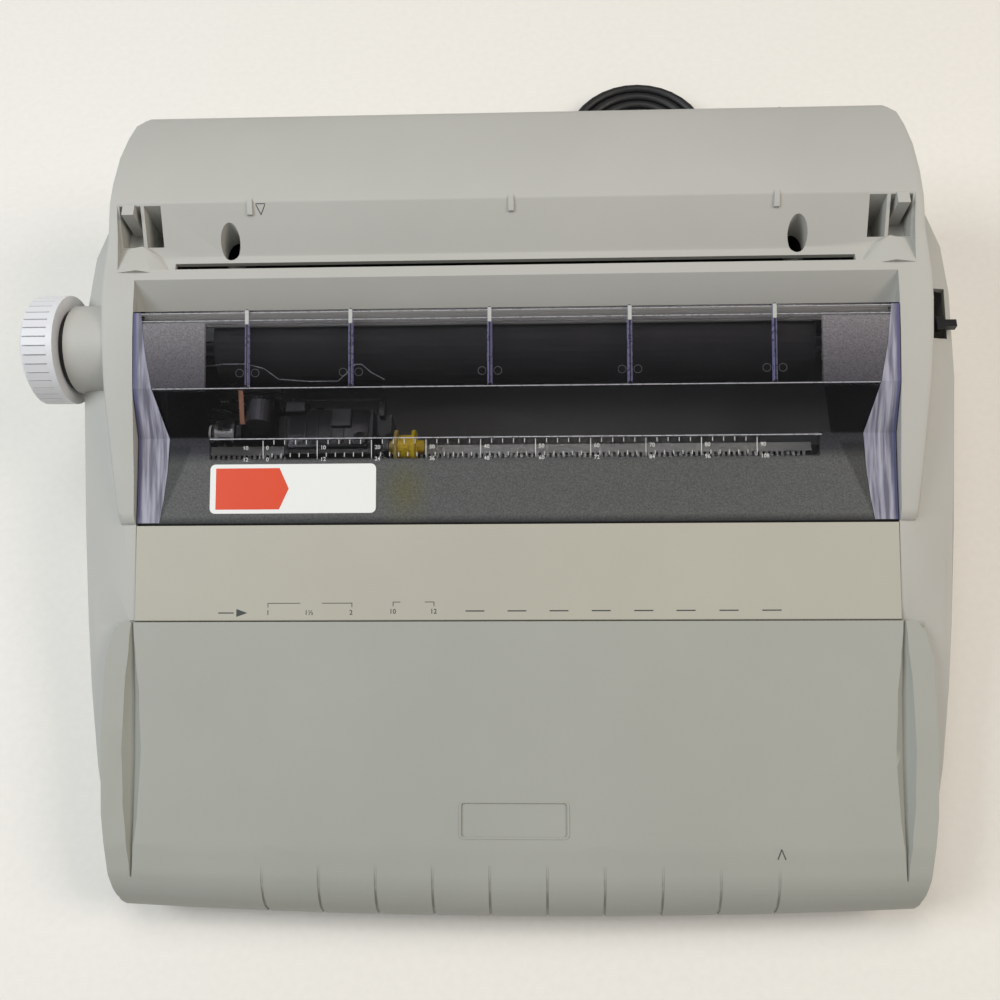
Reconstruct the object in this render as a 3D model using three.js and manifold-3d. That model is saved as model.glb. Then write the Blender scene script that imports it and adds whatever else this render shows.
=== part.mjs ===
// Electronic daisy-wheel typewriter, in millimetres.
// X runs to the machine's right, Y to its rear, Z up. The table is z = 0.
import * as THREE from 'three';
import { ConvexGeometry } from 'three/addons/geometries/ConvexGeometry.js';
import { mergeVertices } from 'three/addons/utils/BufferGeometryUtils.js';
import Module from 'manifold-3d';

const wasm = await Module();
wasm.setup();

// Driving dimensions: the keyboard and its side margins set the width
const keyPitch = 19.05;
const keyUnits = 15;
const sideMargin = 65.625;
const bodyHalfWidth = keyUnits * keyPitch / 2 + sideMargin;
const bodyHalfDepth = 190;
const bodyHeight = 126.5;
const wall = 2.5;
const gap = 0.3;
const overrun = 40;
const footHeight = 4;
const partingHeight = 14;
const platenRadius = 17.5;
const bayMargin = 32.9;
const bayHalfWidth = bodyHalfWidth - bayMargin;
const troughMargin = 24.5;
const coverMargin = 20;
const coverHalfWidth = bodyHalfWidth - coverMargin;

// A place along the depth, and a height above the parting line, from shares of the body
function deep(share) {
  return bodyHalfDepth * share;
}

function level(share) {
  return partingHeight + (bodyHeight - partingHeight) * share;
}

// Shares of the wide lower deck: place along the depth, half width, edge height, middle height
const deckShares = [
  [-0.955, 0.855, 0.0217, 0.0217],
  [-0.948, 0.868, 0.0723, 0.0836],
  [-0.921, 0.885, 0.1342, 0.1488],
  [-0.810, 0.904, 0.2016, 0.2151],
  [-0.658, 0.930, 0.2635, 0.2804],
  [-0.474, 0.954, 0.3253, 0.3478],
  [-0.345, 0.965, 0.3759, 0.3928],
  [-0.328, 0.967, 0.3816, 0.4378],
  [-0.210, 0.976, 0.4265, 0.4974],
  [-0.105, 0.983, 0.4659, 0.5513],
  [0.080, 0.993, 0.5390, 0.6064],
  [0.263, 1.000, 0.6233, 0.6627],
  [0.474, 1.000, 0.6942, 0.7133],
  [0.590, 0.990, 0.7245, 0.7414],
  [0.684, 0.968, 0.7245, 0.7470],
  [0.790, 0.930, 0.7020, 0.7301],
  [0.895, 0.905, 0.6683, 0.6908],
  [0.968, 0.892, 0.6064, 0.6289],
  [0.992, 0.878, 0.5052, 0.5165],
  [1.000, 0.855, 0.3703, 0.3816],
];
// Shares of the raised housing: place along the depth, half width, top height
const housingShares = [
  [-0.108, 0.872, 0.5334],
  [-0.103, 0.880, 0.5637],
  [-0.085, 0.884, 0.5885],
  [0.000, 0.895, 0.6346],
  [0.105, 0.905, 0.7054],
  [0.210, 0.914, 0.7751],
  [0.316, 0.919, 0.8370],
  [0.400, 0.922, 0.8741],
  [0.458, 0.922, 0.8932],
  [0.484, 0.921, 0.8988],
  [0.560, 0.912, 0.9382],
  [0.642, 0.906, 0.9978],
  [0.700, 0.906, 0.9955],
  [0.790, 0.906, 0.9685],
  [0.870, 0.904, 0.9235],
  [0.930, 0.900, 0.8819],
  [0.968, 0.889, 0.8381],
  [0.990, 0.874, 0.7751],
  [1.000, 0.855, 0.6627],
];

const material = (color, roughness, metalness = 0) => () =>
  new THREE.MeshStandardMaterial({ color, roughness, metalness });
const greyPlastic = material(0xb0b1aa, 0.62);
const stripPlastic = material(0xb7b6ac, 0.6);
const coverPlastic = material(0xa6a8a1, 0.62);
const keyPlastic = material(0xd8d6cc, 0.55);
const darkKeyPlastic = material(0x8b8d8a, 0.55);
const smokePlastic = () => new THREE.MeshStandardMaterial({
  color: 0x5b5a66, roughness: 0.2, metalness: 0, transparent: true, opacity: 0.5,
});
const clearPlastic = () => new THREE.MeshStandardMaterial({
  color: 0xdfe3e6, roughness: 0.15, metalness: 0, transparent: true, opacity: 0.45,
});
const blackPlastic = material(0x161617, 0.5);
const blackRubber = material(0x202022, 0.85);
const steel = material(0xb9bcc0, 0.3, 0.9);
const yellowPlastic = material(0xe2b91c, 0.45);
const boardGreen = material(0x2e6b3f, 0.6);
const whitePlastic = material(0xe4e4de, 0.5);
const rackPlastic = material(0x8f8f8c, 0.5);
const blackCord = material(0x141415, 0.6);

// Solid helpers
const fineSides = 38;
const roundSides = 20;
const smallSides = 12;

function toSolid(geometry) {
  const bare = geometry.clone();
  bare.deleteAttribute('normal');
  bare.deleteAttribute('uv');
  const merged = mergeVertices(bare);
  return new wasm.Manifold(new wasm.Mesh({
    numProp: 3,
    vertProperties: new Float32Array(merged.attributes.position.array),
    triVerts: new Uint32Array(merged.index.array),
  }));
}

function toGeometry(solid) {
  const mesh = solid.getMesh();
  const geometry = new THREE.BufferGeometry();
  const positions = new Float32Array(mesh.numVert * 3);
  for (let i = 0; i < mesh.numVert; i += 1) {
    positions.set(mesh.position(i), i * 3);
  }
  geometry.setAttribute('position', new THREE.BufferAttribute(positions, 3));
  geometry.setIndex([...mesh.triVerts]);
  return geometry;
}

function join(...solids) {
  return solids.reduce((whole, next) => whole.add(next));
}

function cut(solid, ...tools) {
  return tools.reduce((whole, next) => whole.subtract(next), solid);
}

// A box between two corners
function block([x0, x1], [y0, y1], [z0, z1]) {
  const geometry = new THREE.BoxGeometry(x1 - x0, y1 - y0, z1 - z0);
  geometry.translate((x0 + x1) / 2, (y0 + y1) / 2, (z0 + z1) / 2);
  return toSolid(geometry);
}

// A span from a to b on the machine's left (side -1) or right (side 1)
function sideSpan(side, a, b) {
  return side > 0 ? [a, b] : [-b, -a];
}

// The smallest convex solid round some points
function hull(points) {
  return toSolid(new ConvexGeometry(points.map((point) => new THREE.Vector3(...point))));
}

function outline(points) {
  return new THREE.Shape(points.map(([a, b]) => new THREE.Vector2(a, b)));
}

// A side profile of [y, z] points drawn out along X
function prismX(points, x0, x1) {
  const geometry = new THREE.ExtrudeGeometry(outline(points), { depth: x1 - x0, bevelEnabled: false });
  const turn = new THREE.Matrix4().makeBasis(
    new THREE.Vector3(0, 1, 0), new THREE.Vector3(0, 0, 1), new THREE.Vector3(1, 0, 0));
  geometry.applyMatrix4(turn);
  geometry.translate(x0, 0, 0);
  return toSolid(geometry);
}

// A front profile of [x, z] points drawn out along Y
function prismY(points, y0, y1) {
  const geometry = new THREE.ExtrudeGeometry(outline(points), { depth: y1 - y0, bevelEnabled: false });
  const turn = new THREE.Matrix4().makeBasis(
    new THREE.Vector3(1, 0, 0), new THREE.Vector3(0, 0, 1), new THREE.Vector3(0, -1, 0));
  geometry.applyMatrix4(turn);
  geometry.translate(0, y1, 0);
  return toSolid(geometry);
}

// A plan outline of [x, y] points drawn up along Z
function prismZ(points, z0, z1) {
  const geometry = new THREE.ExtrudeGeometry(outline(points), { depth: z1 - z0, bevelEnabled: false });
  geometry.translate(0, 0, z0);
  return toSolid(geometry);
}

function rodX(radius, x0, x1, y, z, sides = roundSides) {
  const geometry = new THREE.CylinderGeometry(radius, radius, x1 - x0, sides);
  geometry.rotateZ(-Math.PI / 2);
  geometry.translate((x0 + x1) / 2, y, z);
  return toSolid(geometry);
}

function rodY(radius, y0, y1, x, z, sides = roundSides) {
  const geometry = new THREE.CylinderGeometry(radius, radius, y1 - y0, sides);
  geometry.translate(x, (y0 + y1) / 2, z);
  return toSolid(geometry);
}

function rodZ(radius, z0, z1, x, y, sides = roundSides) {
  const geometry = new THREE.CylinderGeometry(radius, radius, z1 - z0, sides);
  geometry.rotateX(Math.PI / 2);
  geometry.translate(x, y, (z0 + z1) / 2);
  return toSolid(geometry);
}

// A toothed outline of [a, b] points round a centre: shares of a tooth's turn, and root or tip
const gearToothShares = [[0.1, 0], [0.3, 1], [0.6, 1], [0.8, 0]];

function toothedOutline(tipRadius, rootRadius, teeth, centreA, centreB, toothShares = gearToothShares) {
  const points = [];
  for (let tooth = 0; tooth < teeth; tooth += 1) {
    for (const [turnShare, tipShare] of toothShares) {
      const angle = ((tooth + turnShare) / teeth) * 2 * Math.PI;
      const radius = rootRadius + (tipRadius - rootRadius) * tipShare;
      points.push([centreA + radius * Math.cos(angle), centreB + radius * Math.sin(angle)]);
    }
  }
  return points;
}

// A closed skin through rings of equal point count; the two end rings are flat on the named axes
function loft(rings, capAxes = [0, 2]) {
  const count = rings[0].length;
  const faces = [];
  for (let i = 0; i + 1 < rings.length; i += 1) {
    for (let j = 0; j < count; j += 1) {
      const a = i * count + j;
      const b = i * count + ((j + 1) % count);
      faces.push(a, b, b + count, a, b + count, a + count);
    }
  }
  const capOf = (ring) => {
    const flat = ring.map((point) => new THREE.Vector2(point[capAxes[0]], point[capAxes[1]]));
    const triangles = THREE.ShapeUtils.triangulateShape(flat, []);
    const clockwise = THREE.ShapeUtils.isClockWise(flat);
    return clockwise ? triangles.map((triangle) => triangle.toReversed()) : triangles;
  };
  for (const [a, b, c] of capOf(rings[0])) {
    faces.push(c, b, a);
  }
  const last = (rings.length - 1) * count;
  for (const [a, b, c] of capOf(rings[rings.length - 1])) {
    faces.push(last + a, last + b, last + c);
  }
  const geometry = new THREE.BufferGeometry();
  geometry.setAttribute('position', new THREE.Float32BufferAttribute(rings.flat(2), 3));
  geometry.setIndex(faces);
  const solid = toSolid(geometry);
  if (solid.volume() > 0) {
    return solid;
  }
  geometry.setIndex(faces.toReversed());
  return toSolid(geometry);
}

// A right half section of [x, z] points, mirrored into a whole ring at y
function mirroredRing(half, y) {
  const left = half.toReversed().map(([x, z]) => [-x, z]);
  return [...half, ...left].map(([x, z]) => [x, y, z]);
}

// Body shell: the wide lower deck and the raised housing over it
const edgeRound = 5;
const deckCrownMargin = 32.5;
const cheek = { flare: 7, round: 4, footShare: 0.436 };
const cornerShare = 0.3;
const crownSteps = [0, 0.35, 0.7, 1];
const flareShares = { foot: 0.6, middle: 0.25 };

function deckRing([depthShare, widthShare, edgeShare, middleShare], inset) {
  const x = bodyHalfWidth * widthShare - inset;
  const edge = level(edgeShare) - inset;
  const middle = level(middleShare) - inset;
  const crown = (bodyHalfWidth - deckCrownMargin) * widthShare;
  const lowest = partingHeight + gap;
  const crownPoints = crownSteps.map((share) => [
    x - edgeRound + (crown - x + edgeRound) * share, edge + (middle - edge) * Math.sin(share * Math.PI / 2),
  ]);
  const half = [
    [x, partingHeight - (inset > 0 ? overrun : 0)],
    [x, Math.max(edge - edgeRound, lowest)],
    [x - edgeRound * cornerShare, Math.max(edge - edgeRound * cornerShare, lowest + gap)],
    ...crownPoints,
  ];
  return mirroredRing(half, deep(depthShare));
}

function housingRing([depthShare, widthShare, topShare], inset) {
  const x = bodyHalfWidth * widthShare - inset;
  const top = level(topShare) - inset;
  const footLevel = level(cheek.footShare);
  const half = [
    [x, partingHeight + wall],
    [x + cheek.flare * flareShares.foot, footLevel],
    [x + cheek.flare * flareShares.middle, (footLevel + top) / 2],
    [x, top - cheek.round],
    [x - cheek.round * cornerShare, top - cheek.round * cornerShare],
    [x - cheek.round, top],
  ];
  return mirroredRing(half, deep(depthShare));
}

// The rows of a table that stay inside the body's ends once its wall is taken off
function rowsInside(shares, inset) {
  const endShare = inset / bodyHalfDepth;
  const first = shares[0][0] + endShare;
  const last = shares[shares.length - 1][0] - endShare;
  return shares.filter(([depthShare]) => inset === 0 || (depthShare > first && depthShare < last));
}

function bodySkin(inset) {
  const deck = loft(rowsInside(deckShares, inset).map((row) => deckRing(row, inset)));
  const housing = loft(rowsInside(housingShares, inset).map((row) => housingRing(row, inset)));
  return join(deck, housing);
}

// Top line of the panel between the covers, the bar behind the bay and the paper trough behind it
const panelFront = { y: deep(-0.33158), z: level(0.44267) };
const panelRear = { y: deep(-0.10737), z: level(0.55111) };
const panelThickness = 2.5;
const barFront = { y: deep(0.45789), z: level(0.89333) };
const barWidth = 5;
const slopeFoot = { y: deep(0.40526), z: level(0.78667) };
const trough = {
  halfWidth: bodyHalfWidth - troughMargin, floor: level(0.87111), floorDepth: 4, rear: deep(0.64),
  rim: level(0.99911), slotWidth: 5, slotMargin: 26,
};
const slotHalf = trough.halfWidth - trough.slotMargin;
const slotFront = barFront.y + barWidth;
const slotRear = slotFront + trough.slotWidth;
const slopeStart = slotRear + trough.floorDepth;
const bayFloor = level(0.39111);
const keyWellMargin = 1.6;
const keyWell = {
  halfWidth: bayHalfWidth - keyWellMargin, front: deep(-0.92632), rear: deep(-0.34737), floor: level(0.0533),
};
const high = bodyHeight + overrun;

// The platen, and the clear cover's line over it: places behind and above the platen's axis
const platenMargin = 36.6;
const platenHalfLength = bayHalfWidth - platenMargin;
const platenAxis = { y: deep(0.34737), z: level(0.64) };
const hood = {
  scale: { behind: -55, above: -2 }, breakLow: { behind: -47.5, above: 0.5 },
  breakHigh: { behind: -28.4, above: 15 }, rear: { behind: 5.8, above: 26 },
  thick: 2.2, side: 11, sideGap: 0.4, ribs: [-121.7, -73.8, -10, 53.7, 119], ribWidth: 1.6, ribHeight: 2,
};
const hoodHalf = bayHalfWidth - hood.sideGap;

const collar = { radius: 21, inset: 19.5, stand: 0.8, bore: 5 };
const collarOuter = -bodyHalfWidth - collar.stand;
const lever = { slotFar: 12, slotNear: 4, slotLength: 24, slotDrop: 26, side: 1.8, thick: 3, width: 7,
  tabLength: 9, tabHeight: 3.6, tipAhead: 5, topShare: 0.70756 };
const releaseSlot = { x0: bodyHalfWidth - lever.slotFar, x1: bodyHalfWidth - lever.slotNear };
const socket = {
  inner: 20.5, outer: 12.6, front: 7.5, rear: 1.6, floor: 14, corner: 11, cornerEnd: 1, cornerFloor: 4,
};
const wedge = {
  ridgeIn: 9.4, ridgeEnd: 11, ridgeTop: 5, rear: 11.6, footIn: 25, footEnd: 18.5, sideTop: 2.8,
};
const tab = { inner: 8.5, outer: 3, front: 6.8, rear: 1.6 };
const ovalHole = { fromEnd: 52.2, behind: 9, halfWidth: 4.6, halfLength: 7.5, depth: 9 };
const guideRib = { width: 2.4, run: 6, height: 1.4, fromEnd: 62.5 };
const bayCorner = { reach: 8, ahead: 3, lift: 2 };
const switchPlace = {
  behind: 50, level: level(0.28444), height: 22, width: 14, depth: 12, faceShare: 0.955,
};
const switchY = bodyHalfDepth - switchPlace.behind;
const cordExit = { x: -20, hole: 7.2, lift: 0.8 };
const cordExitZ = partingHeight + cordExit.hole + cordExit.lift;

function sloped(y) {
  const rise = (panelRear.z - panelFront.z) / (panelRear.y - panelFront.y);
  return panelFront.z + (y - panelFront.y) * rise;
}

function ovalPoints(centreX, centreY, halfWidth, halfLength) {
  return Array.from({ length: roundSides }, (_, i) => {
    const angle = (i / roundSides) * 2 * Math.PI;
    return [centreX + halfWidth * Math.cos(angle), centreY + halfLength * Math.sin(angle)];
  });
}

function ovalPrism(side, widening, bottom) {
  return prismZ(ovalPoints(side * (trough.halfWidth - ovalHole.fromEnd), slotRear + ovalHole.behind,
    ovalHole.halfWidth + widening, ovalHole.halfLength + widening), bottom, high);
}

// Pocket at each end of the trough: a deep socket for a paper support and a shallow corner beside it
const pocketY = [slotRear + socket.front, trough.rear - socket.rear];

function pocketWalls(side) {
  return block(sideSpan(side, trough.halfWidth - socket.inner - wall, trough.halfWidth + wall),
    [pocketY[0] - wall, pocketY[1] + wall], [trough.floor - socket.floor - wall, high]);
}

function pocketCuts(side) {
  const deepPart = block(sideSpan(side, trough.halfWidth - socket.inner, trough.halfWidth - socket.outer),
    pocketY, [trough.floor - socket.floor, high]);
  const cornerSpan = sideSpan(side, trough.halfWidth - socket.corner, trough.halfWidth - socket.cornerEnd);
  const cornerPart = block(cornerSpan, pocketY, [trough.floor - socket.cornerFloor, high]);
  return join(deepPart, cornerPart);
}

// A low ridge that closes the slot's end against the trough's end wall
function troughWedge(side) {
  const end = trough.halfWidth + wall / 2;
  const bottom = trough.floor - wall / 2;
  const top = [
    [end, slotFront - wall / 2, trough.floor + wedge.sideTop],
    [end, slotFront + wedge.rear, trough.floor + wall / 2],
    [trough.halfWidth - wedge.ridgeIn, slotFront - wall / 2, trough.floor + wedge.ridgeTop],
    [trough.halfWidth - wedge.ridgeEnd, slotFront + wedge.rear, trough.floor + wedge.ridgeTop],
    [trough.halfWidth - wedge.footIn, slotFront - wall / 2, trough.floor],
    [trough.halfWidth - wedge.footEnd, slopeStart, trough.floor],
  ];
  return hull([...top, ...top.map(([x, y]) => [x, y, bottom])].map(([x, y, z]) => [side * x, y, z]));
}

function troughTab(side) {
  return block(sideSpan(side, trough.halfWidth - tab.inner, trough.halfWidth - tab.outer),
    [trough.rear - tab.front, trough.rear - tab.rear + gap],
    [trough.floor - socket.cornerFloor - wall / 2, trough.rim - gap]);
}

// A three-cornered face between the slope behind the bay and each cheek
function bayCornerFill(side) {
  const out = bayHalfWidth + wall / 2;
  const face = [
    [bayHalfWidth, barFront.y, barFront.z], [bayHalfWidth - bayCorner.reach, slopeFoot.y, slopeFoot.z],
    [bayHalfWidth, slopeFoot.y - bayCorner.ahead, slopeFoot.z + bayCorner.lift],
  ];
  const back = [
    [out, barFront.y + wall / 2, barFront.z],
    [bayHalfWidth - bayCorner.reach, slopeFoot.y + wall / 2, slopeFoot.z],
    [out, slopeFoot.y + wall / 2, slopeFoot.z],
    [out, slopeFoot.y - bayCorner.ahead, slopeFoot.z + bayCorner.lift],
  ];
  return hull([...face, ...back].map(([x, y, z]) => [side * x, y, z]));
}

function guideRibs() {
  const slope = (trough.rim - trough.floor) / (trough.rear - slopeStart);
  const reach = trough.halfWidth - guideRib.fromEnd;
  return [-reach, 0, reach].map((x) => prismX([
    [trough.rear - guideRib.run, trough.rim - guideRib.run * slope - wall],
    [trough.rear + wall / 2, trough.rim - wall],
    [trough.rear + wall / 2, trough.rim],
    [trough.rear - guideRib.height / 2, trough.rim + gap],
    [trough.rear - guideRib.run, trough.rim - guideRib.run * slope + guideRib.height],
  ], x - guideRib.width / 2, x + guideRib.width / 2));
}

// Walls that stand inside the shell behind the places that are cut out of it
function coverLinings(outer) {
  const troughSkin = [
    [barFront.y + wall, high], [barFront.y + wall, trough.floor - wall],
    [slopeStart + wall, trough.floor - wall], [trough.rear + wall, trough.rim - wall],
    [trough.rear + wall, high],
  ];
  const slopeSkin = [
    [slopeFoot.y, slopeFoot.z], [barFront.y, barFront.z + wall],
    [slotFront, barFront.z + wall], [slotFront, trough.floor - wall * 2],
    [barFront.y + wall, trough.floor - wall * 2], [slopeFoot.y + wall, slopeFoot.z - wall],
  ];
  const panelLedge = [
    [panelFront.y - wall, panelFront.z - panelThickness * 3],
    [panelRear.y, panelRear.z - panelThickness * 3], [panelRear.y, high], [panelFront.y - wall, high],
  ];
  const lined = bayHalfWidth + wall;
  return join(
    prismX(troughSkin, -trough.halfWidth - wall, trough.halfWidth + wall),
    prismX(slopeSkin, -lined, lined),
    prismX(panelLedge, -lined, lined),
    block([-lined, lined], [panelRear.y - wall, panelRear.y], [bayFloor, high]),
    ...[-1, 1].map((side) => block(sideSpan(side, bayHalfWidth, lined), [panelRear.y, slotFront],
      [bayFloor + wall, high])),
    ...[-1, 1].map((side) => pocketWalls(side)),
    ...[-1, 1].map((side) => ovalPrism(side, wall / 2, trough.floor - ovalHole.depth)),
  ).intersect(outer);
}

function mainCover() {
  const outer = bodySkin(0);
  const shell = join(outer.subtract(bodySkin(wall)), coverLinings(outer));
  const boss = rodX(collar.radius, collarOuter, collar.inset - bodyHalfWidth, platenAxis.y, platenAxis.z,
    fineSides);
  const troughCut = [
    [slotFront, high], [slotFront, trough.floor], [slopeStart, trough.floor],
    [trough.rear, trough.rim], [trough.rear, high],
  ];
  const bayCut = [
    [panelRear.y, high], [panelRear.y, bayFloor], [slopeFoot.y - wall, bayFloor],
    [slopeFoot.y - wall, slopeFoot.z - wall], [slopeFoot.y, slopeFoot.z],
    [barFront.y, barFront.z], [barFront.y, high],
  ];
  const panelCut = [
    [panelFront.y - gap, panelFront.z - panelThickness - gap],
    [panelRear.y, panelRear.z - panelThickness - gap], [panelRear.y, high], [panelFront.y - gap, high],
  ];
  const troughed = join(
    cut(join(shell, boss), prismX(troughCut, -trough.halfWidth, trough.halfWidth),
      prismX(bayCut, -bayHalfWidth, bayHalfWidth), prismX(panelCut, -bayHalfWidth, bayHalfWidth)),
    ...[-1, 1].map((side) => troughWedge(side)),
    ...[-1, 1].map((side) => bayCornerFill(side)),
  );
  const opened = cut(
    troughed,
    block([-slotHalf, slotHalf], [slotFront, slotRear], [bayFloor, high]),
    block([-keyWell.halfWidth, keyWell.halfWidth], [keyWell.front, keyWell.rear], [keyWell.floor, high]),
    rodX(collar.bore, collarOuter - wall, -bayHalfWidth, platenAxis.y, platenAxis.z),
    block([releaseSlot.x0, releaseSlot.x1], [platenAxis.y, platenAxis.y + lever.slotLength],
      [platenAxis.z - lever.slotDrop, high]),
    ...[-1, 1].map((side) => pocketCuts(side)),
    ...[-1, 1].map((side) => ovalPrism(side, 0, trough.floor - ovalHole.depth - wall)),
    block([-bodyHalfWidth - wall, -bodyHalfWidth + overrun],
      [switchY - switchPlace.width / 2, switchY + switchPlace.width / 2],
      [switchPlace.level - switchPlace.height / 2, switchPlace.level + switchPlace.height / 2]),
    rodY(cordExit.hole, bodyHalfDepth - wall * 3, bodyHalfDepth + wall, cordExit.x, cordExitZ),
  );
  return join(opened, ...guideRibs(), ...[-1, 1].map((side) => troughTab(side)));
}

// Base pan with its rim, a flat floor and the feet under it
const base = { bottom: footHeight + gap, floor: 2.2, setBack: 1.2 };
const panFloor = base.bottom + base.floor;
const foot = { radius: 11, fromSide: 48.5, fromFront: 32, fromRear: 30 };

function panOutline(inset) {
  const half = deckShares.filter((row, i) => i % 2 === 0 || i === deckShares.length - 1)
    .map(([depthShare, widthShare]) => {
      const y = deep(depthShare);
      const limit = Math.abs(y > 0 ? bodyHalfDepth : deep(deckShares[0][0])) - inset;
      return [bodyHalfWidth * widthShare - inset, Math.sign(y) * Math.min(Math.abs(y), limit)];
    });
  return [...half, ...half.toReversed().map(([x, y]) => [-x, y])];
}

function basePan() {
  const body = prismZ(panOutline(base.setBack), base.bottom, partingHeight - gap);
  const hollow = prismZ(panOutline(base.setBack + wall), panFloor, partingHeight + overrun);
  return body.subtract(hollow);
}

// Side plates that carry the platen, the rail and the carriage shaft
const plate = {
  leftMargin: 9.6, rightMargin: 6, thickness: 3, ahead: 62, behind: 38, above: 9, shoulder: 18,
};
const plateLeft = plate.leftMargin - bayHalfWidth;
const plateRight = bayHalfWidth - plate.rightMargin;
const plateInner = { left: plateLeft + plate.thickness + gap, right: plateRight - gap };
const platenShaft = { radius: 4, outside: 17.5, past: 5.2 };
const releasePin = { behind: 24, below: 36, radius: 3 };
const releaseAxis = { y: platenAxis.y + releasePin.behind, z: platenAxis.z - releasePin.below };

function sidePlate(x) {
  const front = platenAxis.y - plate.ahead;
  const rear = platenAxis.y + plate.behind;
  const points = [
    [front, panFloor + gap], [rear, panFloor + gap], [rear, platenAxis.z - platenRadius],
    [platenAxis.y + platenRadius, platenAxis.z + plate.above],
    [platenAxis.y - platenRadius, platenAxis.z + plate.above],
    [front, platenAxis.z - plate.shoulder],
  ];
  const holes = [[platenShaft.radius, platenAxis], [releasePin.radius, releaseAxis]].map(([radius, axis]) =>
    rodX(radius + gap, x - wall, x + plate.thickness + wall, axis.y, axis.z));
  return cut(prismX(points, x, x + plate.thickness), ...holes);
}

// Platen with its shaft, knob, gear and line feed drive
const knob = {
  radius: 26, inner: 3.7, outer: 20.5, grooves: 38, grooveDepth: 1.3, rim: 3, chamfer: 2.6, bush: 19.5,
};
const knobGrooveShares = [[0, 1], [0.86, 1], [0.9, 0], [0.96, 0]];
const knobInner = -bodyHalfWidth - knob.inner;
const knobOuter = -bodyHalfWidth - knob.outer;
const platenGear = { tip: 18.6, root: 17, teeth: 26, width: 5, clear: 0.8 };
const gearSpan = [plateLeft - platenGear.clear - platenGear.width, plateLeft - platenGear.clear];
const pinion = { tip: 6, root: 4.6, teeth: 10 };
const pinionReach = platenGear.tip + pinion.tip + gap;
const pinionTurn = -Math.PI * 0.27;
const pinionAxis = {
  y: platenAxis.y + pinionReach * Math.cos(pinionTurn), z: platenAxis.z + pinionReach * Math.sin(pinionTurn),
};
const feedMotor = { radius: 13, can: 18 };

function platenRoller() {
  const roller = rodX(platenRadius, -platenHalfLength, platenHalfLength, platenAxis.y, platenAxis.z,
    fineSides);
  const bore = rodX(platenShaft.radius + gap, -platenHalfLength - wall, platenHalfLength + wall,
    platenAxis.y, platenAxis.z);
  return roller.subtract(bore);
}

function platenKnob() {
  const grooved = prismX(
    toothedOutline(knob.radius, knob.radius - knob.grooveDepth, knob.grooves, platenAxis.y, platenAxis.z,
      knobGrooveShares),
    knobOuter + knob.chamfer, knobInner - knob.rim);
  const rim = rodX(knob.radius, knobInner - knob.rim, knobInner, platenAxis.y, platenAxis.z, fineSides);
  const taper = new THREE.CylinderGeometry(
    knob.radius - knob.grooveDepth, knob.radius - knob.grooveDepth - knob.chamfer, knob.chamfer, fineSides);
  taper.rotateZ(-Math.PI / 2);
  taper.translate(knobOuter + knob.chamfer / 2, platenAxis.y, platenAxis.z);
  const bore = rodX(platenShaft.radius + gap, -bodyHalfWidth - platenShaft.outside - gap, knobInner + wall,
    platenAxis.y, platenAxis.z);
  return cut(join(grooved, rim, toSolid(taper)), bore);
}

function knobSpacer() {
  const span = [knobInner + gap, collarOuter - gap];
  return cut(rodX(knob.bush, ...span, platenAxis.y, platenAxis.z, fineSides),
    rodX(platenShaft.radius + gap, span[0] - wall, span[1] + wall, platenAxis.y, platenAxis.z));
}

function platenGearSolid() {
  const { tip, root, teeth } = platenGear;
  return cut(
    prismX(toothedOutline(tip, root, teeth, platenAxis.y, platenAxis.z), ...gearSpan),
    rodX(platenShaft.radius + gap, gearSpan[0] - wall, gearSpan[1] + wall, platenAxis.y, platenAxis.z));
}

// Feed rollers, their rocking frame, and the release lever
const feedRoller = { radius: 7, shaft: 2.5, endMargin: 19, band: 30, bandReach: 49 };
const feedHalf = platenHalfLength - feedRoller.endMargin;
const feedAxis = { y: platenAxis.y, z: platenAxis.z - platenRadius - feedRoller.radius - gap * 2 };
const pressure = { past: 8, arm: 5, thick: 4, barHeight: 8, pinGap: 5 };
const pressureHalf = feedHalf + pressure.past;
const leverPinLeft = pressureHalf + pressure.pinGap;

function feedRollers() {
  const shaft = rodX(feedRoller.shaft, -feedHalf, feedHalf, feedAxis.y, feedAxis.z, smallSides);
  const reach = platenHalfLength - feedRoller.bandReach;
  const bands = [-reach, 0, reach].map((x) => rodX(
    feedRoller.radius, x - feedRoller.band / 2, x + feedRoller.band / 2, feedAxis.y, feedAxis.z));
  return join(shaft, ...bands);
}

function pressureFrame() {
  const armPoints = [
    [feedAxis.y - pressure.arm, feedAxis.z - pressure.arm],
    [releaseAxis.y + pressure.arm, releaseAxis.z - pressure.arm],
    [releaseAxis.y + pressure.arm, releaseAxis.z + pressure.arm],
    [feedAxis.y - pressure.arm, feedAxis.z + pressure.arm],
  ];
  const arms = [-1, 1].map((side) =>
    prismX(armPoints, ...sideSpan(side, feedHalf - pressure.thick, pressureHalf)));
  const bar = block([-pressureHalf, pressureHalf],
    [releaseAxis.y - pressure.arm / 2, releaseAxis.y + pressure.arm],
    [releaseAxis.z - pressure.arm, releaseAxis.z - pressure.arm + pressure.barHeight]);
  const pins = rodX(releasePin.radius, plateLeft - gap, leverPinLeft - gap, releaseAxis.y, releaseAxis.z,
    smallSides);
  return cut(join(...arms, bar, pins),
    rodX(feedRoller.shaft + gap, -feedHalf - gap, feedHalf + gap, feedAxis.y, feedAxis.z, smallSides));
}

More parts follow.
